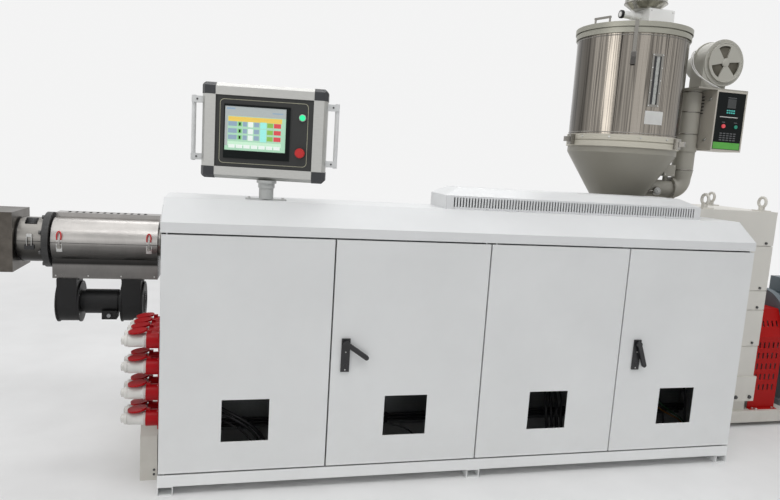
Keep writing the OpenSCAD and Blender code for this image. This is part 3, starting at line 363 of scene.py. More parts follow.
M = {
    # Painted light: cabinet paint brighter near the bottom; the shell also has painted shade inside
    "cabinet": paint("cabinet_paint", (0.78, 0.79, 0.79), 0.36, 650, dust=0.12, shade=CABINET_SHADE),
    "shell": paint("shell_paint", (0.78, 0.79, 0.79), 0.36, 650, dust=0.12, shade=CABINET_SHADE,
                   inside=SHELL_INSIDE),
    # Painted shade on the lower part of the plate
    "galvanised": metal("galvanised", (0.55, 0.57, 0.58), 0.42, (30, 30, 30), (0.82, 1.1), 0.25,
                        shade=PLATE_SHADE),
    "roof": paint("roof_paint", (0.76, 0.77, 0.775), 0.34, 650),
    "lock_black": plastic("lock_black", (0.018, 0.018, 0.02), 0.36),
    "socket_red": plastic("socket_red", (0.37, 0.004, 0.008), 0.36, 500, 0.05, 0.18),
    "plug_white": plastic("plug_white", (0.70, 0.69, 0.66), 0.34, 500, 0.05),
    "post_grey": paint("post_grey", (0.48, 0.49, 0.48), 0.45, 500),
    "alu": metal("panel_aluminium", (0.52, 0.52, 0.50), 0.34, (2, 30, 30), (0.97, 1.03), 0.0, 0.03),
    "corner": plastic("corner_dark", (0.03, 0.032, 0.036), 0.45, 800, 0.2),
    "face": paint("face_dark", (0.020, 0.021, 0.020), 0.46, 900),
    "grip": plastic("grip_pale", (0.68, 0.69, 0.69), 0.36, 500, 0.06),
    "red": plastic("button_red", (0.55, 0.02, 0.02), 0.3, 300, 0.04),
    "machine": paint("machine_paint", (0.70, 0.68, 0.63), 0.45, 420, dust=0.5, wear=0.35),
    "hood_red": paint("hood_red", (0.40, 0.006, 0.005), 0.45, 420, wear=0.2, shine=0.15),
    "black": paint("black_paint", (0.009, 0.009, 0.0095), 0.5, 420, wear=0.2, shine=0.3),
    "motor": paint("motor_paint", (0.12, 0.15, 0.17), 0.42, 380, dust=0.3, wear=0.3),
    "steel": metal("turned_steel", (0.36, 0.35, 0.33), 0.36, (60, 4, 4), (0.85, 1.1), 0.4),
    "die": metal("die_steel", (0.12, 0.108, 0.095), 0.34, (3, 20, 3), (0.85, 1.12), 0.4, 0.05),
    "heater": metal("cast_heater", (0.5, 0.5, 0.48), 0.5, (12, 12, 12), (0.85, 1.08), 0.3),
    # Painted reflection on the covers: broad streaks and the curve over height in the colour
    "stainless": metal("cover_stainless", (0.40, 0.385, 0.37), 0.3, (40, 3, 3), (0.97, 1.03), 0.3, 0.01,
                       reflection_scale=(0.5, 7.0, 7.0), reflection_tones=(0.85, 1.0, 1.06), shade=COVER_SHADE),
    # Painted shade: the collar is the covers' steel in a darker tone, with the same painted reflection over
    # height
    "collar": metal("collar_steel", (0.25, 0.24, 0.225), 0.3, (3, 40, 40), (0.95, 1.05), 0.3, 0.02,
                    shade=COVER_SHADE),
    "flange": metal("flange_oxide", (0.07, 0.07, 0.07), 0.45, (30, 30, 30), (0.8, 1.2), 0.4),
    # Painted reflection: bright and dark streaks and a side to side curve in the drum's colour
    "drum": metal("drum_mirror", (0.40, 0.365, 0.32), 0.14, (2, 2, 30), (0.98, 1.02), 0.0, 0.01,
                  reflection_scale=(26, 26, 0.25), reflection_tones=(0.15, 0.85, 0.95, 0.34, 0.95, 1.0, 0.5, 1.0, 1.3),
                  reflection_range=(0.32, 0.68), shade=DRUM_SHADE),
    "lid": metal("lid_steel", (0.33, 0.325, 0.28), 0.42, (3, 3, 20), (0.98, 1.02), 0.1, 0.01),
    # Painted reflection: broad bright and dark streaks in the loader vessel's colour
    "vessel": metal("vessel_steel", (0.42, 0.41, 0.37), 0.16, (3, 3, 30), (0.98, 1.02), 0.1, 0.01,
                    reflection_scale=(14, 14, 0.5), reflection_tones=(0.4, 0.9, 1.5)),
    "fittings": metal("fittings_steel", (0.27, 0.26, 0.24), 0.24, (20, 20, 20), (0.96, 1.04), 0.1, 0.02),
    "latch_dark": metal("latch_dark", (0.10, 0.095, 0.09), 0.3, (20, 20, 20), (0.9, 1.1), 0.2, 0.02),
    "cone": paint("cone_paint", (0.31, 0.295, 0.25), 0.4, 420, wear=0.15, shade=CONE_SHADE),
    "dryer": paint("dryer_paint", (0.36, 0.345, 0.30), 0.42, 420, wear=0.12),
    "ctl_cream": paint("control_paint", (0.52, 0.49, 0.43), 0.42, 420, wear=0.1),
    "fan_cream": paint("fan_paint", (0.44, 0.43, 0.38), 0.4, 420),
    "loader": paint("loader_white", (0.93, 0.93, 0.92), 0.36, 500),
    "cable_black": plastic("cable_black", (0.02, 0.02, 0.022), 0.5, 700, 0.1),
    "cable_grey": plastic("cable_grey", (0.3, 0.31, 0.32), 0.5, 700, 0.1),
    "cable_amber": plastic("cable_amber", (0.20, 0.09, 0.012), 0.5, 700, 0.1, 0.3),
    "cable_green": plastic("cable_green", (0.012, 0.06, 0.02), 0.5, 700, 0.1, 0.3),
    "duct_grey": plastic("trunking_grey", (0.36, 0.38, 0.4), 0.5, 700, 0.1),
    "zinc": metal("zinc_screw", (0.55, 0.55, 0.54), 0.3, (30, 30, 30), (0.85, 1.1)),
    "dark_screw": metal("dark_screw", (0.1, 0.1, 0.1), 0.35, (30, 30, 30), (0.8, 1.2)),
    "rubber": plastic("rubber_black", (0.015, 0.015, 0.016), 0.65, 500, 0.3, 0.3),
    "panel_black": plastic("panel_black", (0.008, 0.010, 0.010), 0.5, 500, 0.04, 0.1),
    "strip_green": plastic("strip_green", (0.10, 0.42, 0.06), 0.4, 500, 0.05),
    "pale_line": plastic("pale_line", (0.42, 0.41, 0.30), 0.4, 500, 0.04),
    "plate_white": plastic("plate_white", (0.66, 0.66, 0.64), 0.35, 500, 0.04),
    "print_grey": plastic("print_grey", (0.10, 0.105, 0.11), 0.4, 500, 0.04),
    "mesh_grey": plastic("mesh_grey", (0.13, 0.12, 0.095), 0.6, 160, 0.6, 0.2),
    "window_dark": plastic("window_dark", (0.035, 0.04, 0.04), 0.12, 300, 0.02),
    "glass": glass_pane("sight_pane"),
    "lamp_green": screen_paint("lamp_green", (0.02, 0.62, 0.25), 0.9),
    "digits": screen_paint("digits_teal", (0.05, 0.36, 0.32), 0.5),
    "lamp_teal": screen_paint("lamp_teal", (0.01, 0.20, 0.13), 0.3),
}
SCREEN = {
    "screen_back": (0.30, 0.50, 0.36), "screen_head": (0.30, 0.33, 0.33),
    "screen_yellow": (0.60, 0.42, 0.08), "screen_white": (0.60, 0.66, 0.62),
    "screen_green": (0.16, 0.42, 0.16), "screen_cyan": (0.25, 0.62, 0.56),
    "screen_red": (0.50, 0.05, 0.06), "screen_blue": (0.20, 0.28, 0.36),
    "screen_olive": (0.18, 0.36, 0.06), "screen_pale": (0.42, 0.62, 0.46),
}
M.update((look, screen_paint(look, color)) for look, color in SCREEN.items())

NODES_OF_LOOK = {
    "cabinet": "cabinet_feet door_1 door_2 door_3 door_4", "shell": "cabinet_shell",
    "galvanised": "equipment_plate", "roof": "cabinet_top vent_cover",
    "lock_black": "lock_2 lock_4 lever_2 lever_4", "socket_red": "sockets", "plug_white": "plugs",
    "post_grey": "panel_post swivel_head", "alu": "panel_frame", "corner": "panel_corners",
    "face": "panel_face", "grip": "panel_handles", "lamp_green": "start_button", "red": "stop_button",
    "machine": "base_frame gearbox coupling_guard", "motor": "motor",
    "black": "barrel_stands blowers", "steel": "barrel", "heater": "heater_bands",
    "stainless": "feed_section cover_bottoms cover_top_1 cover_top_2 cover_top_3 cover_top_4 cover_top_5",
    "flange": "die_flange", "collar": "die_collar", "die": "die_block", "cone": "hopper_cone",
    "drum": "hopper_drum", "lid": "hopper_lid", "fittings": "hopper_fittings", "glass": "sight_glass",
    "loader": "loader_box", "vessel": "loader", "dryer": "dryer_shelf dryer_duct",
    "fan_cream": "dryer_fan", "ctl_cream": "dryer_box",
}
for look, nodes in NODES_OF_LOOK.items():
    for node in nodes.split():
        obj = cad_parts[node]
        if not obj.material_slots:
            obj.data.materials.append(M[look])
        for slot in obj.material_slots:
            slot.material = M[look]


# ---------------------------------------------------------------- mesh pieces
class Piece:
    """One mesh object built from many small closed forms, in millimetres."""

    def __init__(self, name, body, *looks, place=at, slot=None):
        self.name, self.body, self.looks, self.place, self.slot = name, body, looks, place, slot
        self.bm = bmesh.new()
        self.look = 0

    def use(self, look):
        self.look = self.looks.index(look)

    def add(self, verts, faces, smooth=False):
        vs = [self.bm.verts.new(self.place(*v)) for v in verts]
        for f in faces:
            face = self.bm.faces.new([vs[i] for i in f])
            face.material_index = self.look
            face.smooth = smooth

    def rings(self, rings, smooth=True, cyclic=False):
        """Skin a list of equal rings of points, with an end cap on both sides unless cyclic."""
        n, m = len(rings[0]), len(rings)
        faces = []
        for i in range(m if cyclic else m - 1):
            a, b = i * n, ((i + 1) % m) * n
            for j in range(n):
                k = (j + 1) % n
                faces.append((a + j, a + k, b + k, b + j))
        self.add([p for r in rings for p in r], faces, smooth)
        if not cyclic:
            self.bm.verts.ensure_lookup_table()
            vs = self.bm.verts[-n * m:]
            for ring in (vs[:n][::-1], vs[-n:]):
                self.bm.faces.new(ring).material_index = self.look

    def block(self, x0, x1, y0, y1, z0, z1, r=1.0):
        """Box with rounded vertical and horizontal edges."""
        r = min(r, (x1 - x0) / 2.2, (y1 - y0) / 2.2, (z1 - z0) / 2.2)
        k = r * 0.29
        rings = []
        for z, inset in ((z0, r), (z0 + k, k), (z0 + r, 0), (z1 - r, 0), (z1 - k, k), (z1, r)):
            a0, a1, b0, b1 = x0 + inset, x1 - inset, y0 + inset, y1 - inset
            rings.append([
                (a0 + r, b0, z), (a1 - r, b0, z), (a1 - k, b0 + k, z), (a1, b0 + r, z),
                (a1, b1 - r, z), (a1 - k, b1 - k, z), (a1 - r, b1, z), (a0 + r, b1, z),
                (a0 + k, b1 - k, z), (a0, b1 - r, z), (a0, b0 + r, z), (a0 + k, b0 + k, z)])
        self.rings(rings, smooth=False)

    def lathe(self, base, axis, profile, n=24, smooth=True):
        """Solid of revolution: profile of (along, radius) from base along the axis."""
        w = Vector(axis).normalized()
        u = w.orthogonal().normalized()
        v = w.cross(u)
        rings = []
        for t, r in profile:
            c = Vector(base) + w * t
            rings.append([c + (u * math.cos(a) + v * math.sin(a)) * r
                          for a in (i * math.tau / n for i in range(n))])
        self.rings(rings, smooth=smooth)

    def disc(self, base, axis, r, h, n=24, ease=0.8):
        """Short cylinder with eased edges."""
        e = min(ease, h / 3, r / 3)
        self.lathe(base, axis, [(0, r), (h - e, r), (h - e * 0.3, r - e * 0.3), (h, r - e)], n)

    def hex_bolt(self, base, axis, s=8.0, h=6.0, washer=True):
        """Hexagon head of half width s on a washer."""
        b = Vector(base)
        w = Vector(axis).normalized()
        if washer:
            self.disc(b - w * 0.4, axis, s * 1.25, 2.0, 20, 0.4)
            b = b + w * 1.6
        self.lathe(b, axis, [(0, s * 1.12), (h * 0.82, s * 1.12), (h, s * 0.92)], 6, smooth=False)

    def cap_screw(self, base, axis, r=6.0, h=6.0):
        """Round socket head with its hole."""
        self.lathe(base, axis, [(-0.4, r), (h - 0.6, r), (h, r - 0.6), (h, r * 0.55),
                                (h * 0.4, r * 0.5), (h * 0.4, 0.01)], 18)

    def pan_screw(self, base, axis, r=4.0):
        """Low domed screw head with a dimple for its recess."""
        self.lathe(base, axis, [(-0.3, r), (r * 0.25, r), (r * 0.5, r * 0.75), (r * 0.6, r * 0.35),
                                (r * 0.35, r * 0.2), (r * 0.35, 0.01)], 16)

    def tube(self, pts, r, n=12, closed=False):
        """Round bar along a smooth path."""
        pts = [Vector(p) for p in pts]
        rings = []
        m = len(pts)
        u = None
        for i, p in enumerate(pts):
            a = pts[(i - 1) % m] if closed or i else pts[i]
            b = pts[(i + 1) % m] if closed or i < m - 1 else pts[i]
            w = (b - a).normalized()
            if u is None:
                u = w.orthogonal().normalized()
            u = (u - w * u.dot(w)).normalized()
            v = w.cross(u)
            rings.append([p + (u * math.cos(t) + v * math.sin(t)) * r
                          for t in (k * math.tau / n for k in range(n))])
        self.rings(rings, cyclic=closed)

    def strap(self, x0, x1, r0, r1, a0, a1):
        """Thin band round the barrel's front, its angles in degrees above the axis."""
        rows = []
        steps = max(2, int(abs(a1 - a0) / 3))
        for i in range(steps + 1):
            a = math.radians(a0 + (a1 - a0) * i / steps)
            rows.append([(x, -r * math.cos(a), r * math.sin(a))
                         for x, r in ((x0, r0), (x1, r0), (x1, r1), (x0, r1))])
        self.rings(rows, smooth=False)

    def folded_sheet(self, profile, thick, x_cuts, row_cuts, is_slot):
        """Sheet folded along x through the (y, z) profile, slotted where is_slot(fold, row, column)."""
        points = []
        for i, (a, b) in enumerate(zip(profile, profile[1:])):
            fold = Vector(b) - Vector(a)
            cuts = [0.0] + row_cuts.get(i, [])
            points += [(Vector(a) + fold * (c / fold.length), i, k) for k, c in enumerate(cuts)]
        points.append((Vector(profile[-1]), len(profile) - 2, 0))
        normals = []
        for a, b in zip(profile, profile[1:]):
            along = (Vector(b) - Vector(a)).normalized()
            normals.append(Vector((-along.y, along.x)))
        verts = []
        for point, i, k in points:
            before = normals[i - 1] if k == 0 and i and point != Vector(profile[-1]) else normals[i]
            inner = point - (before + normals[i]) * thick / (1 + before.dot(normals[i]))
            for side in (point, inner):
                verts += [(x, side.x, side.y) for x in x_cuts]
        n = len(x_cuts)

        def solid(r, c):
            inside = 0 <= r < len(points) - 1 and 0 <= c < n - 1
            return inside and not is_slot(points[r][1], points[r][2], c)

        faces = []
        for r in range(len(points) - 1):
            for c in range(n - 1):
                if not solid(r, c):
                    continue
                a, b = 2 * r * n + c, 2 * (r + 1) * n + c
                faces += [(a, a + 1, b + 1, b), (a + n, b + n, b + n + 1, a + n + 1)]
                for row, column, edge in ((r - 1, c, (a, a + n, a + n + 1, a + 1)),
                                          (r + 1, c, (b, b + 1, b + n + 1, b + n)),
                                          (r, c - 1, (a, b, b + n, a + n)),
                                          (r, c + 1, (a + 1, a + n + 1, b + n + 1, b + 1))):
                    if not solid(row, column):
                        faces.append(edge)
        self.add(verts, faces)

    def done(self):
        bmesh.ops.remove_doubles(self.bm, verts=self.bm.verts, dist=1e-6)
        bmesh.ops.recalc_face_normals(self.bm, faces=self.bm.faces)
        me = bpy.data.meshes.new(self.name)
        self.bm.to_mesh(me)
        self.bm.free()
        for look in self.looks:
            me.materials.append(M[look])
        ob = bpy.data.objects.new(self.name, me)
        bpy.context.scene.collection.objects.link(ob)
        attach(ob, self.body)


def spline(pts, n=40):
    """Points on a smooth curve through the given ones."""
    pts = [Vector(p) for p in pts]
    full = [pts[0] * 2 - pts[1]] + pts + [pts[-1] * 2 - pts[-2]]
    out = []
    segs = len(pts) - 1
    per = max(2, n // segs)
    for i in range(segs):
        p0, p1, p2, p3 = full[i:i + 4]
        for k in range(per):
            t = k / per
            out.append(0.5 * ((2 * p1) + (p2 - p0) * t + (2 * p0 - 5 * p1 + 4 * p2 - p3) * t * t
                              + (3 * p1 - p0 - 3 * p2 + p3) * t ** 3))
    out.append(pts[-1])
    return out


def eased(pts, steps, rounds):
    """The path in even steps with its bends eased and its ends kept."""
    run = [0.0]
    for a, b in zip(pts, pts[1:]):
        run.append(run[-1] + (b - a).length)
    even = []
    k = 0
    for i in range(steps + 1):
        goal = run[-1] * i / steps
        while k < len(pts) - 2 and run[k + 1] < goal:
            k += 1
        even.append(pts[k].lerp(pts[k + 1], (goal - run[k]) / (run[k + 1] - run[k])))
    for _ in range(rounds):
        inner = [(a + b * 2 + c) / 4 for a, b, c in zip(even, even[1:], even[2:])]
        even = [even[0]] + inner + [even[-1]]
    return even


# ---------------------------------------------------------------- cabinet
def cabinet_details():
    p = Piece("cabinet_screws", "machine", "zinc")
    for k in range(9):
        p.pan_screw((VENT_X + 40 + k * (VENT_W - 80) / 8, VENT_Y, CAB_H + 5.5), FRONT, 2.6)
    for dx in (-70, 70):
        for dy in (-14, 14):
            p.hex_bolt((POST_X + dx, POST_Y + dy, CAB_H + 5), UP, 5, 4)
    for x, out in ((0, LEFT), (CAB_W, RIGHT)):
        for z in (120, 420, 740, 1060):
            for y in (60, 360):
                p.pan_screw((x, y, z), out, 3.4)
    p.done()
    for i in range(DOORS):
        bay_trunking(i)
        bay_cables(i)
    for i, x, z in ((2, 736.5, 582.0), (4, 2114.5, 568.0)):
        t = Piece("lock_trim_%d" % i, "door_%d" % i, "zinc", "lock_black", slot="lock_black")
        t.use("lock_black")
        t.disc((x, -8, z - 44), FRONT, 8, 1.8, 24)
        t.use("zinc")
        for dz in (14, -62):
            t.pan_screw((x, -8, z + dz), FRONT, 3)
        t.done()


def bay_trunking(i):
    """Trunking fingers, toggles, terminal screws and labels on the plate behind door i."""
    q = Piece("bay_%d_trunking" % (i + 1), "machine", "duct_grey", "plug_white", "lock_black", "cable_grey")
    x0 = i * DOOR_W + 70
    q.use("duct_grey")
    for k in range(44):
        x = x0 + 2 + k * 12
        for z in (734, 454):
            q.block(x, x + 7, PLATE_Y - 52, PLATE_Y - 50.2, z, z + 42, 0.5)
    q.use("lock_black")
    for k in range(6):
        x = x0 + k * 90
        q.block(x + 28, x + 50, PLATE_Y - 90, PLATE_Y - 79.5, 862, 884, 2)
    for k in range(5):
        x = x0 + k * 108
        q.use("plug_white")
        for dx in (18, 45, 72):
            for z in (672, 558):
                q.disc((x + dx, PLATE_Y - 95.2, z), FRONT, 6, 2.6, 12)
        q.use("cable_grey")
        q.block(x + 25, x + 65, PLATE_Y - 98, PLATE_Y - 94.6, 596, 634, 3)
    q.done()


# Cables from the trunking to a floor gland in each bay: look, radius, way seen through the cutout
BAY_CABLES = (
    (("cable_black", 7.0, ((-0.25, 0.02, 200), (0.05, 0.22, 152), (0.55, 0.54, 140), (0.92, 0.92, 150))),
     ("cable_black", 6.0, ((-0.28, 0.10, 190), (0.05, 0.32, 138), (0.50, 0.60, 128), (0.80, 0.93, 140))),
     ("cable_black", 3.5, ((-0.26, 0.28, 175), (0.02, 0.46, 125), (0.35, 0.66, 116), (0.66, 0.95, 130)))),
    (("cable_black", 3.5, ((-0.40, 0.50, 180), (0.04, 0.68, 140), (0.40, 0.76, 130), (0.80, 0.98, 140))),
     ("cable_black", 6.0, ((-0.50, 0.10, 240), (-0.35, 0.45, 210), (-0.30, 0.90, 200)))),
    (("cable_black", 7.0, ((0.42, 0.10, 250), (0.46, 0.50, 200), (0.52, 0.92, 190))),
     ("cable_black", 6.0, ((0.55, 0.10, 245), (0.60, 0.50, 190), (0.65, 0.92, 180))),
     ("cable_black", 7.0, ((0.68, 0.10, 250), (0.74, 0.50, 196), (0.78, 0.92, 186))),
     ("cable_black", 5.0, ((0.82, 0.10, 245), (0.86, 0.50, 190), (0.90, 0.92, 180)))),
    (("cable_amber", 4.0, ((-0.30, 0.30, 200), (0.15, 0.62, 170), (0.42, 0.80, 160), (0.80, 0.93, 170))),
     ("cable_green", 3.5, ((-0.20, 0.20, 195), (0.20, 0.52, 160), (0.52, 0.76, 150), (0.90, 0.98, 165))),
     ("cable_black", 6.0, ((-0.10, 0.10, 240), (0.10, 0.45, 215), (0.20, 0.90, 210))),
     ("cable_black", 6.0, ((0.75, 0.10, 245), (0.80, 0.50, 215), (0.84, 0.90, 205)))),
)


def seen_in_cutout(i, across, down, y):
    """The point at depth y that the camera sees at these shares of door i's cutout."""
    x = (i + 0.5) * DOOR_W + (across - 0.5) * CUT_W
    z = CUT_TOP - down * CUT_H
    t = -y / EYE[1]
    return (x + (x - EYE[0]) * t, y, z + (z - EYE[2]) * t)


def bay_cables(i):
    """Hanging cables, their floor glands, and the loom along the foot of the plate in its saddles."""
    c = Piece("bay_%d_cables" % (i + 1), "machine", "cable_black", "cable_amber", "cable_green", "rubber")
    for look, r, way in BAY_CABLES[i]:
        seen = [seen_in_cutout(i, *w) for w in way]
        start = (seen[0][0] - 30, 305, 449)
        gland = (seen[-1][0] + 30, seen[-1][1] + 10, CAB_FLOOR)
        c.use(look)
        c.tube(eased(spline([start] + seen + [gland], 60), 44, 30), r, 10)
        c.use("rubber")
        c.lathe(gland, UP, [(-0.4, r * 2.1), (6, r * 2.1), (8, r * 1.6), (15, r * 1.5), (17, r * 1.1),
                            (12, r * 1.02)], 20)
    x0 = i * DOOR_W
    c.use("cable_black")
    for z, r in ((152, 6), (166, 7), (181, 6)):
        c.tube([(x0 + 24 + k * (DOOR_W - 48) / 14, PLATE_Y - r - 1, z) for k in range(15)], r, 10)
    c.use("rubber")
    for k in (0.1, 0.5, 0.9):
        x = x0 + k * DOOR_W
        c.block(x - 7, x + 7, PLATE_Y - 17, PLATE_Y + 0.4, 141, 192, 4)
    c.done()


# ---------------------------------------------------------------- panel
def panel_details():
    y = -PAN_D / 2
    s = Piece("screen_picture", "panel", *SCREEN, "panel_black", place=panel_at)

    def tile(look, x0, x1, z0, z1, out=0.06):
        s.use(look)
        f = y + 3.35 - out
        s.add([(x0, f, z0), (x1, f, z0), (x1, f, z1), (x0, f, z1)], [(0, 1, 2, 3)])

    tile("screen_back", -158.5, 87.5, -75.5, 100.5, 0.0)
    tile("screen_head", -158.5, 87.5, 62, 100.5)
    tile("screen_head", -158.5, -147, -58, 62)
    tile("screen_blue", -152, -118, 88, 95, 0.12)
    tile("screen_blue", 32, 76, 78, 83, 0.12)
    tile("screen_yellow", -145, 72, 41, 60)
    row = (("blue", -145, -110, 0, 18), ("green", -107, -90, 0, 18), ("blue", -86, -69, 0, 18),
           ("white", -65, -45, -2, 19), ("blue", -41, -20, 0, 18), ("cyan", -16, 9, -5, 21),
           ("olive", 12, 36, 0, 18), ("red", 39, 68, 0, 18))
    for z in (22, -6, -32):
        for color, x0, x1, low, high in row:
            tile("screen_" + color, x0, x1, z + low, z + high)
        tile("panel_black", -102, -95, z + 3, z + 15, 0.12)
    tile("screen_pale", -147, 70, -56, -40)
    for k in range(7):
        tile("screen_white", -143 + k * 30.5, -117 + k * 30.5, -66, -52, 0.12)
    s.done()

    b = Piece("panel_bezel_trim", "panel", "panel_black", "dark_screw", "pale_line", "corner",
              place=panel_at)
    # thin pale rounded line round the operating area
    b.use("pale_line")
    right, left, half, r, w = 176, -180, 128, 16, 1.0
    rings = []
    for cx, cz, a0 in ((right - r, half - r, 0), (left + r, half - r, 90),
                       (left + r, r - half, 180), (right - r, r - half, 270)):
        for k in range(7):
            a = math.radians(a0 + k * 15)
            rings.append([(cx + math.cos(a) * (r + dw), y + dy, cz + math.sin(a) * (r + dw))
                          for dw, dy in ((-w, 8.2), (w, 8.2), (w, 7.6), (-w, 7.6))])
    b.rings(rings, cyclic=True, smooth=False)
    # rounded lip of the screen unit
    b.use("panel_black")
    for x0, x1, z0, z1 in ((-163, 104, 101, 109), (-163, 104, -108, -76),
                           (-163, -159, -76, 101), (88, 104, -76, 101)):
        b.block(x0, x1, y + 0.8, y + 2.4, z0, z1, 0.7)
    b.use("dark_screw")
    for side in (-1, 1):
        for up in (-1, 1):
            b.cap_screw((side * (PAN_W / 2 - 27), -y, up * (PAN_H / 2 - 24)), BACK, 5, 2.4)
        for z in (-110, 122):
            b.cap_screw((side * (PAN_W / 2 + 22), -16, z), FRONT, 4, 2.2)
    # back cover with ribs, seen from behind
    b.use("corner")
    for k in range(9):
        b.block(-120, 120, -y - 2.2, -y + 1.6, k * 25 - 100, k * 25 - 91, 1.2)
    b.done()
    g = Piece("button_rings", "panel", "zinc", place=panel_at)
    for x, z, r in ((154, 71, 14.6), (149, -72, 13.2)):
        ring = [(0, r), (2.6, r), (3.4, r - 1), (3.4, r - 2.4), (0.4, r - 2.6)]
        g.lathe((x, y + 4.2, z), FRONT, ring, 32)
    g.done()


# ---------------------------------------------------------------- sockets
def socket_details():
    p = Piece("socket_screws", "machine", "zinc", "plug_white", "rubber")
    for row in range(4):
        for column in range(4 if row == 0 else 2):
            y = SOCK_Y + column * SOCK_COL
            z = SOCK_Z - row * SOCK_ROW
            p.use("zinc")
            for dy in (-29, 29):
                for dz in (-29, 37):
                    p.pan_screw((-4, y + dy, z + dz), LEFT, 2.6)
            p.use("plug_white")
            p.lathe((-56, y, z), LEFT, [(0, 27), (1, 29), (6, 29), (7, 27)], 32)
            p.lathe((-118, y, z), LEFT, [(0, 23), (1, 24.6), (11, 24.6), (13, 22.6)], 32)
            p.use("rubber")
            p.disc((-143, y, z), LEFT, 12, 1.4, 20)
    p.done()


# ---------------------------------------------------------------- barrel and fans
def barrel_details():
    for k in range(ZONES):
        cover_latches(k, COVER_X0 + k * ZONE_GAP)
        fan_fittings(k, COVER_X0 + k * ZONE_GAP)
    f = Piece("die_bolts", "machine", "dark_screw", place=barrel_at)
    for c, s in around(8, 22.5):
        f.cap_screw((-548, 114 * c, 114 * s), LEFT, 9, 12)
    for c, s in around(6):
        f.hex_bolt((FEED_X0 - 42, 100 * c, 100 * s), LEFT, 9, 9)
    f.done()
    collar_latch()
    st = Piece("stand_bolts", "machine", "zinc")
    for k in range(ZONES):
        x = COVER_X0 + COVER_LEN + (ZONE_GAP - COVER_LEN) / 2 + k * ZONE_GAP
        foot = BEAM_H if x - 24 < BEAM_X1 else BASE_H
        for y in (-90, 90):
            st.hex_bolt((x, AXIS_Y + y, foot + 14), UP, 8, 7)
    st.done()


def cover_latches(k, x0):
    """Red grips and hasps on the upper cover of zone k, their bases on the lower one."""
    p = Piece("cover_%d_grips" % (k + 1), "cover_top_%d" % (k + 1), "red", "zinc", slot="button_red",
              place=barrel_at)
    base = Piece("latch_%d_bases" % (k + 1), "machine", "zinc", "fittings", place=barrel_at)
    grip = ((-8, 110, 14), (-9, 111, 30), (-7, 107, 44), (0, 103, 51), (7, 107, 44), (9, 111, 30),
            (8, 110, 14))
    for x in (x0 + 36, x0 + COVER_LEN - 36):
        p.use("red")
        p.tube(spline([(x + dx, -out, z) for dx, out, z in grip], 30), 3.0, 10)
        p.use("zinc")
        p.strap(x - 10, x + 10, COVER_R + 0.2, COVER_R + 3, 3, 10)
        p.block(x - 5, x + 5, -112, -106, 6, 18, 1.5)
        base.use("zinc")
        base.strap(x - 12, x + 12, COVER_R + 0.2, COVER_R + 2.6, -22, -2)
        base.use("fittings")
        base.block(x - 8, x + 8, -112, -104, -26, -4, 2)
        base.tube([(x - 9, -110, -15), (x + 9, -110, -15)], 2.4, 8)
    p.done()
    base.done()


def fan_fittings(k, x0):
    """Screws of the air box and fans of zone k, and wire guards on the outer intakes."""
    q = Piece("zone_%d_screws" % (k + 1), "machine", "zinc", "dark_screw", "cable_grey")
    for x in (x0 + 14, x0 + 150, x0 + 290, x0 + COVER_LEN - 14):
        q.pan_screw((x, AIR_BOX_Y, AIR_BOX_Z), FRONT, 3.6)
    for left in (x0 + FAN_A, x0 + FAN_B):
        for x in (left + 16, left + FAN_W - 16):
            q.pan_screw((x, FAN_NECK_Y, FAN_NECK_Z), FRONT, 2.6)
        for c, s in around(6, 30):
            for x, out in ((left, LEFT), (left + FAN_W, RIGHT)):
                q.pan_screw((x, AXIS_Y + (FAN_R - 8) * c, FAN_Z + (FAN_R - 8) * s), out, 3)
    q.use("cable_grey")
    q.disc((x0 + 236, FAN_NECK_Y, FAN_Z - 54), FRONT, 9, 12, 16)
    q.done()
    g = Piece("zone_%d_guards" % (k + 1), "machine", "dark_screw")
    for x in (x0 + FAN_A - 2, x0 + FAN_B + FAN_W + 2):
        for r in (14, 24, 34, 44, 52):
            g.tube(circle((x, AXIS_Y, FAN_Z), r, 28, "yz"), 1.2, 6, closed=True)
        for c, s in around(4, 45):
            g.tube([(x, AXIS_Y + r * c, FAN_Z + r * s) for r in (10, 60)], 1.4, 6)
    g.done()


def collar_latch():
    """Wire toggle latch and hinge of the collar between flange and die."""
    cl = Piece("collar_latch", "machine", "lock_black", "zinc", place=barrel_at)
    x = -599.0
    cl.tube([(sx, -101.6, 3) for sx in (-648, -620, -600, -580, -550)], 1.3, 6)
    cl.block(x - 20, x + 20, -106, -98, -34, -12, 2)
    cl.use("zinc")
    cl.tube(spline([(x - 9, -105, -16), (x - 10, -108, 6), (x - 8, -104, 26),
                    (x + 8, -104, 26), (x + 10, -108, 6), (x + 9, -105, -16)], 30), 2.4, 8)
    cl.block(x - 12, x + 12, -106, -92, 22, 36, 2)
    cl.use("lock_black")
    for k in range(5):
        a = math.radians(k * 5 - 128)
        y, z = 101.3 * math.cos(a), -101.3 * math.sin(a)
        cl.tube([(x - 26, y, z), (x + 22, y, z)], 4.6, 8)
    cl.done()


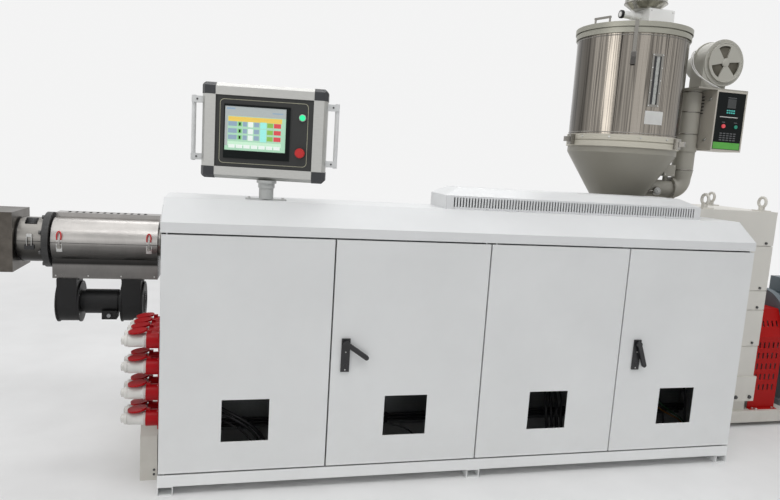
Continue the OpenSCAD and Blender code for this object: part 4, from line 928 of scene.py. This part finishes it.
# ---------------------------------------------------------------- drive
def drive_details():
    p = Piece("gearbox_bolts", "machine", "dark_screw", "zinc", "window_dark", "fittings")
    for down in (190, 442, 552, 757):
        for k in range(5):
            for y, out in ((GEAR_Y0, FRONT), (GEAR_Y1, BACK)):
                p.cap_screw((GEAR_X0 + 50 + k * 100, y, GEAR_H - down + 16), out, 7, 7)
    for k in range(6):
        for y, out in ((GEAR_Y0 - 6, FRONT), (GEAR_Y1 + 4, BACK)):
            p.hex_bolt((GEAR_X0 + 20 + k * 92, y, 180), out, 9, 8)
    for c, s in around(8):
        p.hex_bolt((GEAR_X1 + 18, AXIS_Y + 112 * c, MOTOR_Z + 112 * s), RIGHT, 6, 6, False)
    oil_window = (GEAR_X0 + 250, GEAR_Y0, 560)
    p.use("window_dark")
    p.lathe(oil_window, FRONT, [(-1, 26), (5, 26), (6, 24), (4, 20), (4, 0.01)], 32)
    p.use("fittings")
    p.lathe(oil_window, FRONT, [(-1, 32), (4, 32), (5, 31), (5, 26.5), (0, 26.2)], 32)
    p.hex_bolt((GEAR_X0 + 120, GEAR_Y0, 360), FRONT, 14, 12)
    p.done()
    motor_fittings()
    coupling_hood()
    b = Piece("base_bolts", "machine", "zinc", "dark_screw")
    for x in (650, 1350, 2050, GEAR_X0 - 40, GEAR_X1 + 60, BASE_X1 - 60):
        for y in (BASE_Y0 + 22, BASE_Y1 - 22):
            b.hex_bolt((x, y, BASE_H), UP, 9, 8)
    b.use("dark_screw")
    for y, out in ((AXIS_Y - BEAM_HALF, FRONT), (AXIS_Y + BEAM_HALF, BACK)):
        for z in (26, 46):
            b.cap_screw((BEAM_X1 - BEAM_T, y, z), out, 5, 3)
    b.done()


def motor_fittings():
    m = Piece("motor_fittings", "machine", "zinc", "motor", "lock_black")
    rim, top = MOTOR_R + 2, MOTOR_Z + MOTOR_R
    for c, s in around(8, 22.5):
        m.hex_bolt((MOTOR_X0 + 40, AXIS_Y + rim * c, MOTOR_Z + rim * s), RIGHT, 6, 5)
    for x in (MOTOR_X0 + 80, MOTOR_X1 - 150):
        for y in (AXIS_Y - MOTOR_R + 14, AXIS_Y + MOTOR_R - 14):
            m.hex_bolt((x, y, BASE_H + 30), UP, 10, 9)
    m.use("motor")
    for r in (40, 66, 92, 118, 144, 168):
        m.tube(circle((MOTOR_X1 + 1, AXIS_Y, MOTOR_Z), r, 40, "yz"), 3, 6, closed=True)
    m.use("lock_black")
    for x in (MOTOR_X0 + 190, MOTOR_X0 + 290):
        m.lathe((x, AXIS_Y - 90, top + 30), FRONT, [(-1, 18), (10, 18), (12, 15), (24, 15), (26, 11)], 18)
    m.use("zinc")
    for x in (MOTOR_X0 + 152, MOTOR_X0 + 328):
        for y in (AXIS_Y - 78, AXIS_Y + 78):
            m.pan_screw((x, y, top + 80), UP, 4.5)
    m.done()


def coupling_hood():
    """Red hood of folded slotted sheet that stands on the deck over the coupling's guard tube."""
    h = Piece("coupling_hood", "machine", "hood_red", "zinc")
    x0, x1, thick = GEAR_X1 + 20, MOTOR_X0 - 3, 2.5
    foot_y, side_y, deck, shoulder_z, top_z, lean = 416, 440, BASE_H + 2.5, 520, 672, 65
    half = [(foot_y, deck), (side_y, deck), (side_y, shoulder_z), (side_y + lean, top_z)]
    profile = half + [(2 * AXIS_Y - y, z) for y, z in reversed(half)]
    pitch, slot_w, slot_h, row_step, rows = 31, 10, 34, 63, 5
    x_cuts = [x0]
    for k in range(5):
        x_cuts += [x0 + 26 + k * pitch, x0 + 26 + k * pitch + slot_w]
    x_cuts.append(x1)
    lowest = 487 - deck - slot_h - (rows - 1) * row_step
    side_rows = [lowest + k * row_step + d for k in range(rows) for d in (0, slot_h)]
    shoulder_rows = [60, 60 + slot_h]
    fold = math.hypot(lean, top_z - shoulder_z)
    cuts = {1: side_rows, 2: shoulder_rows, 4: [fold - r for r in reversed(shoulder_rows)],
            5: [shoulder_z - deck - r for r in reversed(side_rows)]}
    h.folded_sheet(profile, thick, x_cuts, cuts,
                   lambda fold_at, row, column: fold_at in cuts and row % 2 == 1 and column % 2 == 1)
    h.use("zinc")
    for x in (x0 + 25, x1 - 25):
        for y in (foot_y + 12, 2 * AXIS_Y - foot_y - 12):
            h.hex_bolt((x, y, deck), UP, 5, 5)
    h.done()


# ---------------------------------------------------------------- hopper and dryer
def hopper_details():
    p = Piece("hopper_bolts", "machine", "zinc", "fittings", "lock_black", "plate_white", "latch_dark")
    for k in range(12):
        a = k * 30 + 15
        out = (math.cos(math.radians(a)), math.sin(math.radians(a)), 0)
        p.hex_bolt(on_drum(8, a, DRUM_Z - 14), out, 4.5, 4, False)
    for dx in (-74, 74):
        for dy in (-74, 74):
            p.hex_bolt((HOP_X + dx, AXIS_Y + dy, 1139), UP, 7, 6)
    # screws of the sight glass frame
    for k in range(5):
        for a in (-101.0, -91.0):
            out = (math.cos(math.radians(a)), math.sin(math.radians(a)), 0)
            p.cap_screw(on_drum(3.6, a, DRUM_Z + 149 + k * 62), out, 3.2, 2.6)
    # welded seam down the drum and a rolled bead at both ends
    p.use("fittings")
    p.tube([on_drum(0.4, 62, z) for z in (DRUM_Z, (DRUM_Z + RIM_Z) / 2, RIM_Z)], 1.2, 6)
    for z in (RIM_Z - 10, DRUM_Z + 10):
        p.tube([on_drum(0.6, i * 4, z) for i in range(90)], 2.4, 8, closed=True)
    # dark gaskets beside the pane, following the drum
    p.use("lock_black")
    for a0, a1 in ((-99.9, -97.6), (-93.4, -92.7)):
        p.rings([[on_drum(out, a, z) for out, z in ((-0.5, 1752), (4.8, 1752), (4.8, 1988), (-0.5, 1988))]
                 for a in (a0, (a0 + a1) / 2, a1)], smooth=False)
    # dark handles of the toggle latches
    p.use("latch_dark")
    handle = ((16.6, -158), (21, -158), (23, -120), (19, -96), (16.6, -96))
    for a in (-120.5, -0.5, 119.5):
        p.rings([[on_drum(out, a + da, RIM_Z + z) for out, z in handle] for da in (-2.2, 0, 2.2)],
                smooth=False)
    # blank label plate, following the drum
    p.use("plate_white")
    plate = ((0.2, 1654), (0.9, 1654), (0.9, 1720), (0.2, 1720))
    p.rings([[on_drum(out, 2.5 * i - 103, z) for out, z in plate] for i in range(9)], smooth=False)
    p.done()
    t = Piece("thermometer", "machine", "fittings", "plate_white", "lock_black")
    x, z = THERMO
    base = Vector((HOP_X + 158, AXIS_Y - 44, z))
    head = Vector((x, 590, z))
    t.tube([base, base.lerp(head, 0.5), head], 6, 12)
    t.lathe((x, 600, z), FRONT, [(0, 22), (2, 24), (14, 24), (16, 22.5), (14.5, 21), (14.5, 20)], 32)
    t.use("plate_white")
    t.lathe((x, 586, z), FRONT, [(0, 20.5), (0.6, 20.5), (0.6, 0.01)], 32)
    t.use("lock_black")
    for k in range(11):
        a = math.radians(225 - k * 27)
        t.tube([(x + r * math.cos(a), 585.0, z + r * math.sin(a)) for r in (15, 18.5)], 0.5, 4)
    t.tube([(x, 584.8, z), (x - 9, 584.8, z + 11)], 0.7, 4)
    t.disc((x, 585.4, z), FRONT, 2.2, 1.2, 12)
    t.done()


def dryer_details():
    p = Piece("dryer_screws", "machine", "zinc", "panel_black", "strip_green", "plate_white", "lamp_teal",
              "window_dark", "digits", "print_grey", "lock_black", "screen_red", "fittings", "fan_cream",
              "mesh_grey")
    control_box_front(p)
    # screws of the fan, the duct's flange, the shelf and the junction box
    p.use("zinc")
    p.place = at
    elbow = DUCT_X - BEND_R
    for c, s in around(8, 22):
        p.pan_screw((BLOW_X + (BLOW_R - 9) * c, BLOW_Y0, BLOW_Z + (BLOW_R - 9) * s), FRONT, 3)
        p.hex_bolt((elbow - 16, AXIS_Y + 59 * c, DUCT_Z + 59 * s), LEFT, 4.5, 4, False)
    for dx in (-52, 52):
        p.hex_bolt((BLOW_X + dx, BLOW_Y0 + 20, SHELF_Z + 8), UP, 5, 4)
    for x in (elbow - 68, elbow - 18):
        for z in (DUCT_Z + DUCT_R + 32, DUCT_Z + DUCT_R + 77):
            p.pan_screw((x, AXIS_Y - 35, z), FRONT, 3)
    # seams round the heater tube
    p.use("fittings")
    for z in (1440, 1640, 1760, 1868):
        p.tube(circle((DUCT_X, AXIS_Y, z), TUBE_R + 0.8, 40, "xy"), 2.6, 8, closed=True)
    # wire mesh behind the three openings of the intake disc, its dark grey partly the mesh and partly
    # painted shade inside the intake, and the disc's hub and rim
    p.place = fan_at
    p.use("mesh_grey")
    p.lathe((0, -4, 0), BACK, [(0, 19), (0, BLOW_R - 35), (3, BLOW_R - 35), (3, 19)], 40)
    p.use("fan_cream")
    p.lathe((0, -12, 0), FRONT, [(-0.5, 24), (2, 22), (4, 16), (5, 8), (5.2, 0.01)], 28)
    p.tube(circle((0, -11.5, 0), BLOW_R - 21, 48, "xz"), 2.2, 8, closed=True)
    p.done()
    # twin flex from the fan's motor round the housing to the control box
    c = Piece("fan_flex", "machine", "plug_white", place=fan_at)
    for k in (0, 13):
        path = [(k - 62, 137, 40), (-106, 113, 66 + k), (-140 - k, 77, 20), (-144 - k, 56, -30),
                (-136 - k, 10, -78), (-100, -16 - k, -116), (-54, -16 - k, -132), (k - 24, -12, -140)]
        c.tube(eased(spline(path, 70), 60, 30), 3.4, 10)
    c.done()


def control_box_front(p):
    """Dark front, keys, lamps, cover screws, and dark strips of painted shade in the louvres of the dryer's
    control box.
    """
    p.place = control_at
    p.use("panel_black")
    p.block(9, CTL_W - 9, 0.6, 2.8, 10 - CTL_H, -10, 1)
    p.use("strip_green")
    p.block(12, CTL_W - 12, 0, 1.4, 12 - CTL_H, 48 - CTL_H, 0.6)
    p.use("window_dark")
    p.block(74, 128, -0.6, 1.4, -92, -42, 1)
    p.use("print_grey")
    for k in range(20):
        x, z = 46 + k % 5 * 22, 58 - CTL_H + k // 5 * 12
        p.block(x, x + 16, -0.1, 0.9, z, z + 6, 0.5)
    for x0, x1, z in ((74, 128, -34), (52, 72, -166), (130, 150, -166)):
        p.block(x0, x1, -0.1, 0.9, z - 4, z, 0.5)
    p.use("digits")
    for k in range(8):
        x, z = 74 + k % 4 * 14, -108 - k // 4 * 12
        p.block(x, x + 10, -0.2, 0.9, z, z + 7, 0.3)
    p.use("lamp_teal")
    p.disc((142, 0.6, -190), FRONT, 10, 6, 20)
    p.use("screen_red")
    p.disc((62, 0.6, -190), FRONT, 11, 7, 20)
    p.use("plate_white")
    p.block(34, 148, -0.1, 0.9, -142, -138, 0.5)
    p.use("zinc")
    for x in (4, CTL_W - 4):
        for z in (4.5 - CTL_H, -4.5):
            p.pan_screw((x, 0, z), FRONT, 2.6)
    # wing bolts on both sides, and dark strips of painted shade in the louvres behind them
    for x, out in ((0, -1), (CTL_W, 1)):
        for y, z in ((48, -48), (58, 57 - CTL_H)):
            p.disc((x, y, z), (out, 0, 0), 7, 4, 16)
            p.tube([(x + out * far, y + 13 * k, z - 6 * k) for far, k in ((3, -1), (6, 0), (3, 1))], 2.6, 8)
    # Painted shade: dark strips in the louvre slots where shade falls
    p.use("lock_black")
    for x in (1.2, CTL_W - 3.4):
        for k in range(6):
            z = -34.3 - k * 18
            p.block(x, x + 2.2, CTL_D - 66.5, CTL_D - 9.5, z, z + 6.6, 0.3)


def loader_details():
    p = Piece("loader_fittings", "machine", "fittings", "zinc", "rubber")
    z1 = LID_Z + LOAD_BOX_H
    z2 = z1 + 30 + LOAD_H
    for z in (z1 + 34, z2 - 6):
        p.tube(circle((LOAD_X, AXIS_Y, z), LOAD_R + 0.6, 60, "xy"), 3, 8, closed=True)
    clip = ((1, -40), (9, -30), (12, 0), (9, 16), (2, 16))
    for c, s in around(3, -100):
        p.tube(spline([(LOAD_X + (LOAD_R + out) * c, AXIS_Y + (LOAD_R + out) * s, z2 + dz)
                       for out, dz in clip], 20), 3, 8)
    p.use("zinc")
    for x in (LOAD_BOX[0] + 12, LOAD_BOX[1] - 12):
        for z in (LID_Z + 12, z1 - 12):
            p.pan_screw((x, AXIS_Y - 76, z), FRONT, 3.4)
    p.use("rubber")
    p.lathe((STUB_X, AXIS_Y, LID_Z + 85), LEFT,
            [(-14, 21), (-1, 21), (0, 19), (0, 14), (-6, 13), (-6, 0.01)], 24)
    p.done()


cabinet_details()
panel_details()
socket_details()
barrel_details()
drive_details()
hopper_details()
dryer_details()
loader_details()


# ---------------------------------------------------------------- stage, light, camera
BACKGROUND = 0.9
FLOOR_HALF = 30.0
WHITE = (1, 1, 1)


def stage():
    """Pale floor that turns into the white background far from the object, for the camera only."""
    s = Shade("floor_pale")
    v = s.mapped()
    tone = s.ramp(s.noise(v, 3, 4), [(0.35, 0.80), (0.65, 0.84)])
    s.set(Base_Color=tone, Roughness=0.6, Normal=s.bump(s.noise(v, 160, 3), 0.05, 0.001))
    far = s.math("MULTIPLY", s.span(s.vector("LENGTH", v), 3.4, 7.5), s.seen())
    s.blend(far, s.bsdf.outputs[0], s.glow("Emission", WHITE, BACKGROUND), s.out)
    me = bpy.data.meshes.new("floor")
    corners = [(x * FLOOR_HALF, y * FLOOR_HALF, 0.0) for x, y in ((-1, -1), (1, -1), (1, 1), (-1, 1))]
    me.from_pydata(corners, [], [(0, 1, 2, 3)])
    me.materials.append(s.mat)
    floor = bpy.data.objects.new("floor", me)
    bpy.context.scene.collection.objects.link(floor)


def world_light():
    """Soft sky, brighter above, that the camera sees as plain white."""
    world = bpy.data.worlds.new("studio")
    bpy.context.scene.world = world
    world.use_nodes = True
    w = Nodes(world.node_tree)
    height = w.span(w.split(w.node("TexCoord").outputs["Generated"])[2], -1.0, 1.0)
    sky = [(pos, (tone * 0.97, tone * 0.985, tone))
           for pos, tone in ((0.0, 0.30), (0.50, 0.34), (0.60, 0.62), (0.78, 1.0))]
    w.blend(w.seen(), w.glow("Background", w.ramp(height, sky + [(1.0, WHITE)]), 0.50),
            w.glow("Background", WHITE, BACKGROUND), w.node("OutputWorld"))


def lamp(name, kind, where, aim, energy, size, size_y=None, color=WHITE):
    data = bpy.data.lights.new(name, kind)
    data.energy = energy
    data.color = color
    if kind == "AREA":
        data.shape = "RECTANGLE"
        data.size, data.size_y = size, size_y
    else:
        data.angle = size
    ob = bpy.data.objects.new(name, data)
    ob.location = where
    ob.rotation_euler = (Vector(aim) - Vector(where)).to_track_quat("-Z", "Y").to_euler()
    ob.visible_camera = False
    bpy.context.scene.collection.objects.link(ob)


def camera():
    """The photo's camera, solved from the cabinet's edges."""
    yaw, pitch, roll = (math.radians(a) for a in (-14.093, -8.025, -3.614))
    turn = Matrix.Rotation(yaw, 3, "Z") @ Matrix.Rotation(pitch, 3, "X") @ Matrix.Rotation(roll, 3, "Y")
    right, ahead, up = turn.col
    data = bpy.data.cameras.new("photo_camera")
    data.sensor_fit = "HORIZONTAL"
    data.sensor_width = 36.0
    focal_px, photo_w = 652.692, 780
    data.lens = focal_px / photo_w * data.sensor_width
    data.clip_end = 60
    ob = bpy.data.objects.new("photo_camera", data)
    ob.matrix_world = Matrix.Translation(at(*EYE)) @ Matrix((right, up, -ahead)).transposed().to_4x4()
    bpy.context.scene.collection.objects.link(ob)
    bpy.context.scene.camera = ob


stage()
world_light()
lamp("top_strip_front", "AREA", (0, -2.6, 4.6), (0, 0, 0.8), 60, 6.0, 0.9)
lamp("top_strip_back", "AREA", (0, 2.4, 4.8), (0, 0, 0.9), 60, 6.0, 0.9)
lamp("left_soft", "AREA", (-5.2, -2.2, 2.6), (-1, 0, 0.8), 34, 2.4, 2.4, (1, 0.98, 0.95))
lamp("sky", "SUN", (0, 0, 6), (0.25, 0.5, 0), 0.56, math.radians(50))
camera()
bpy.context.scene.view_settings.view_transform = "Standard"
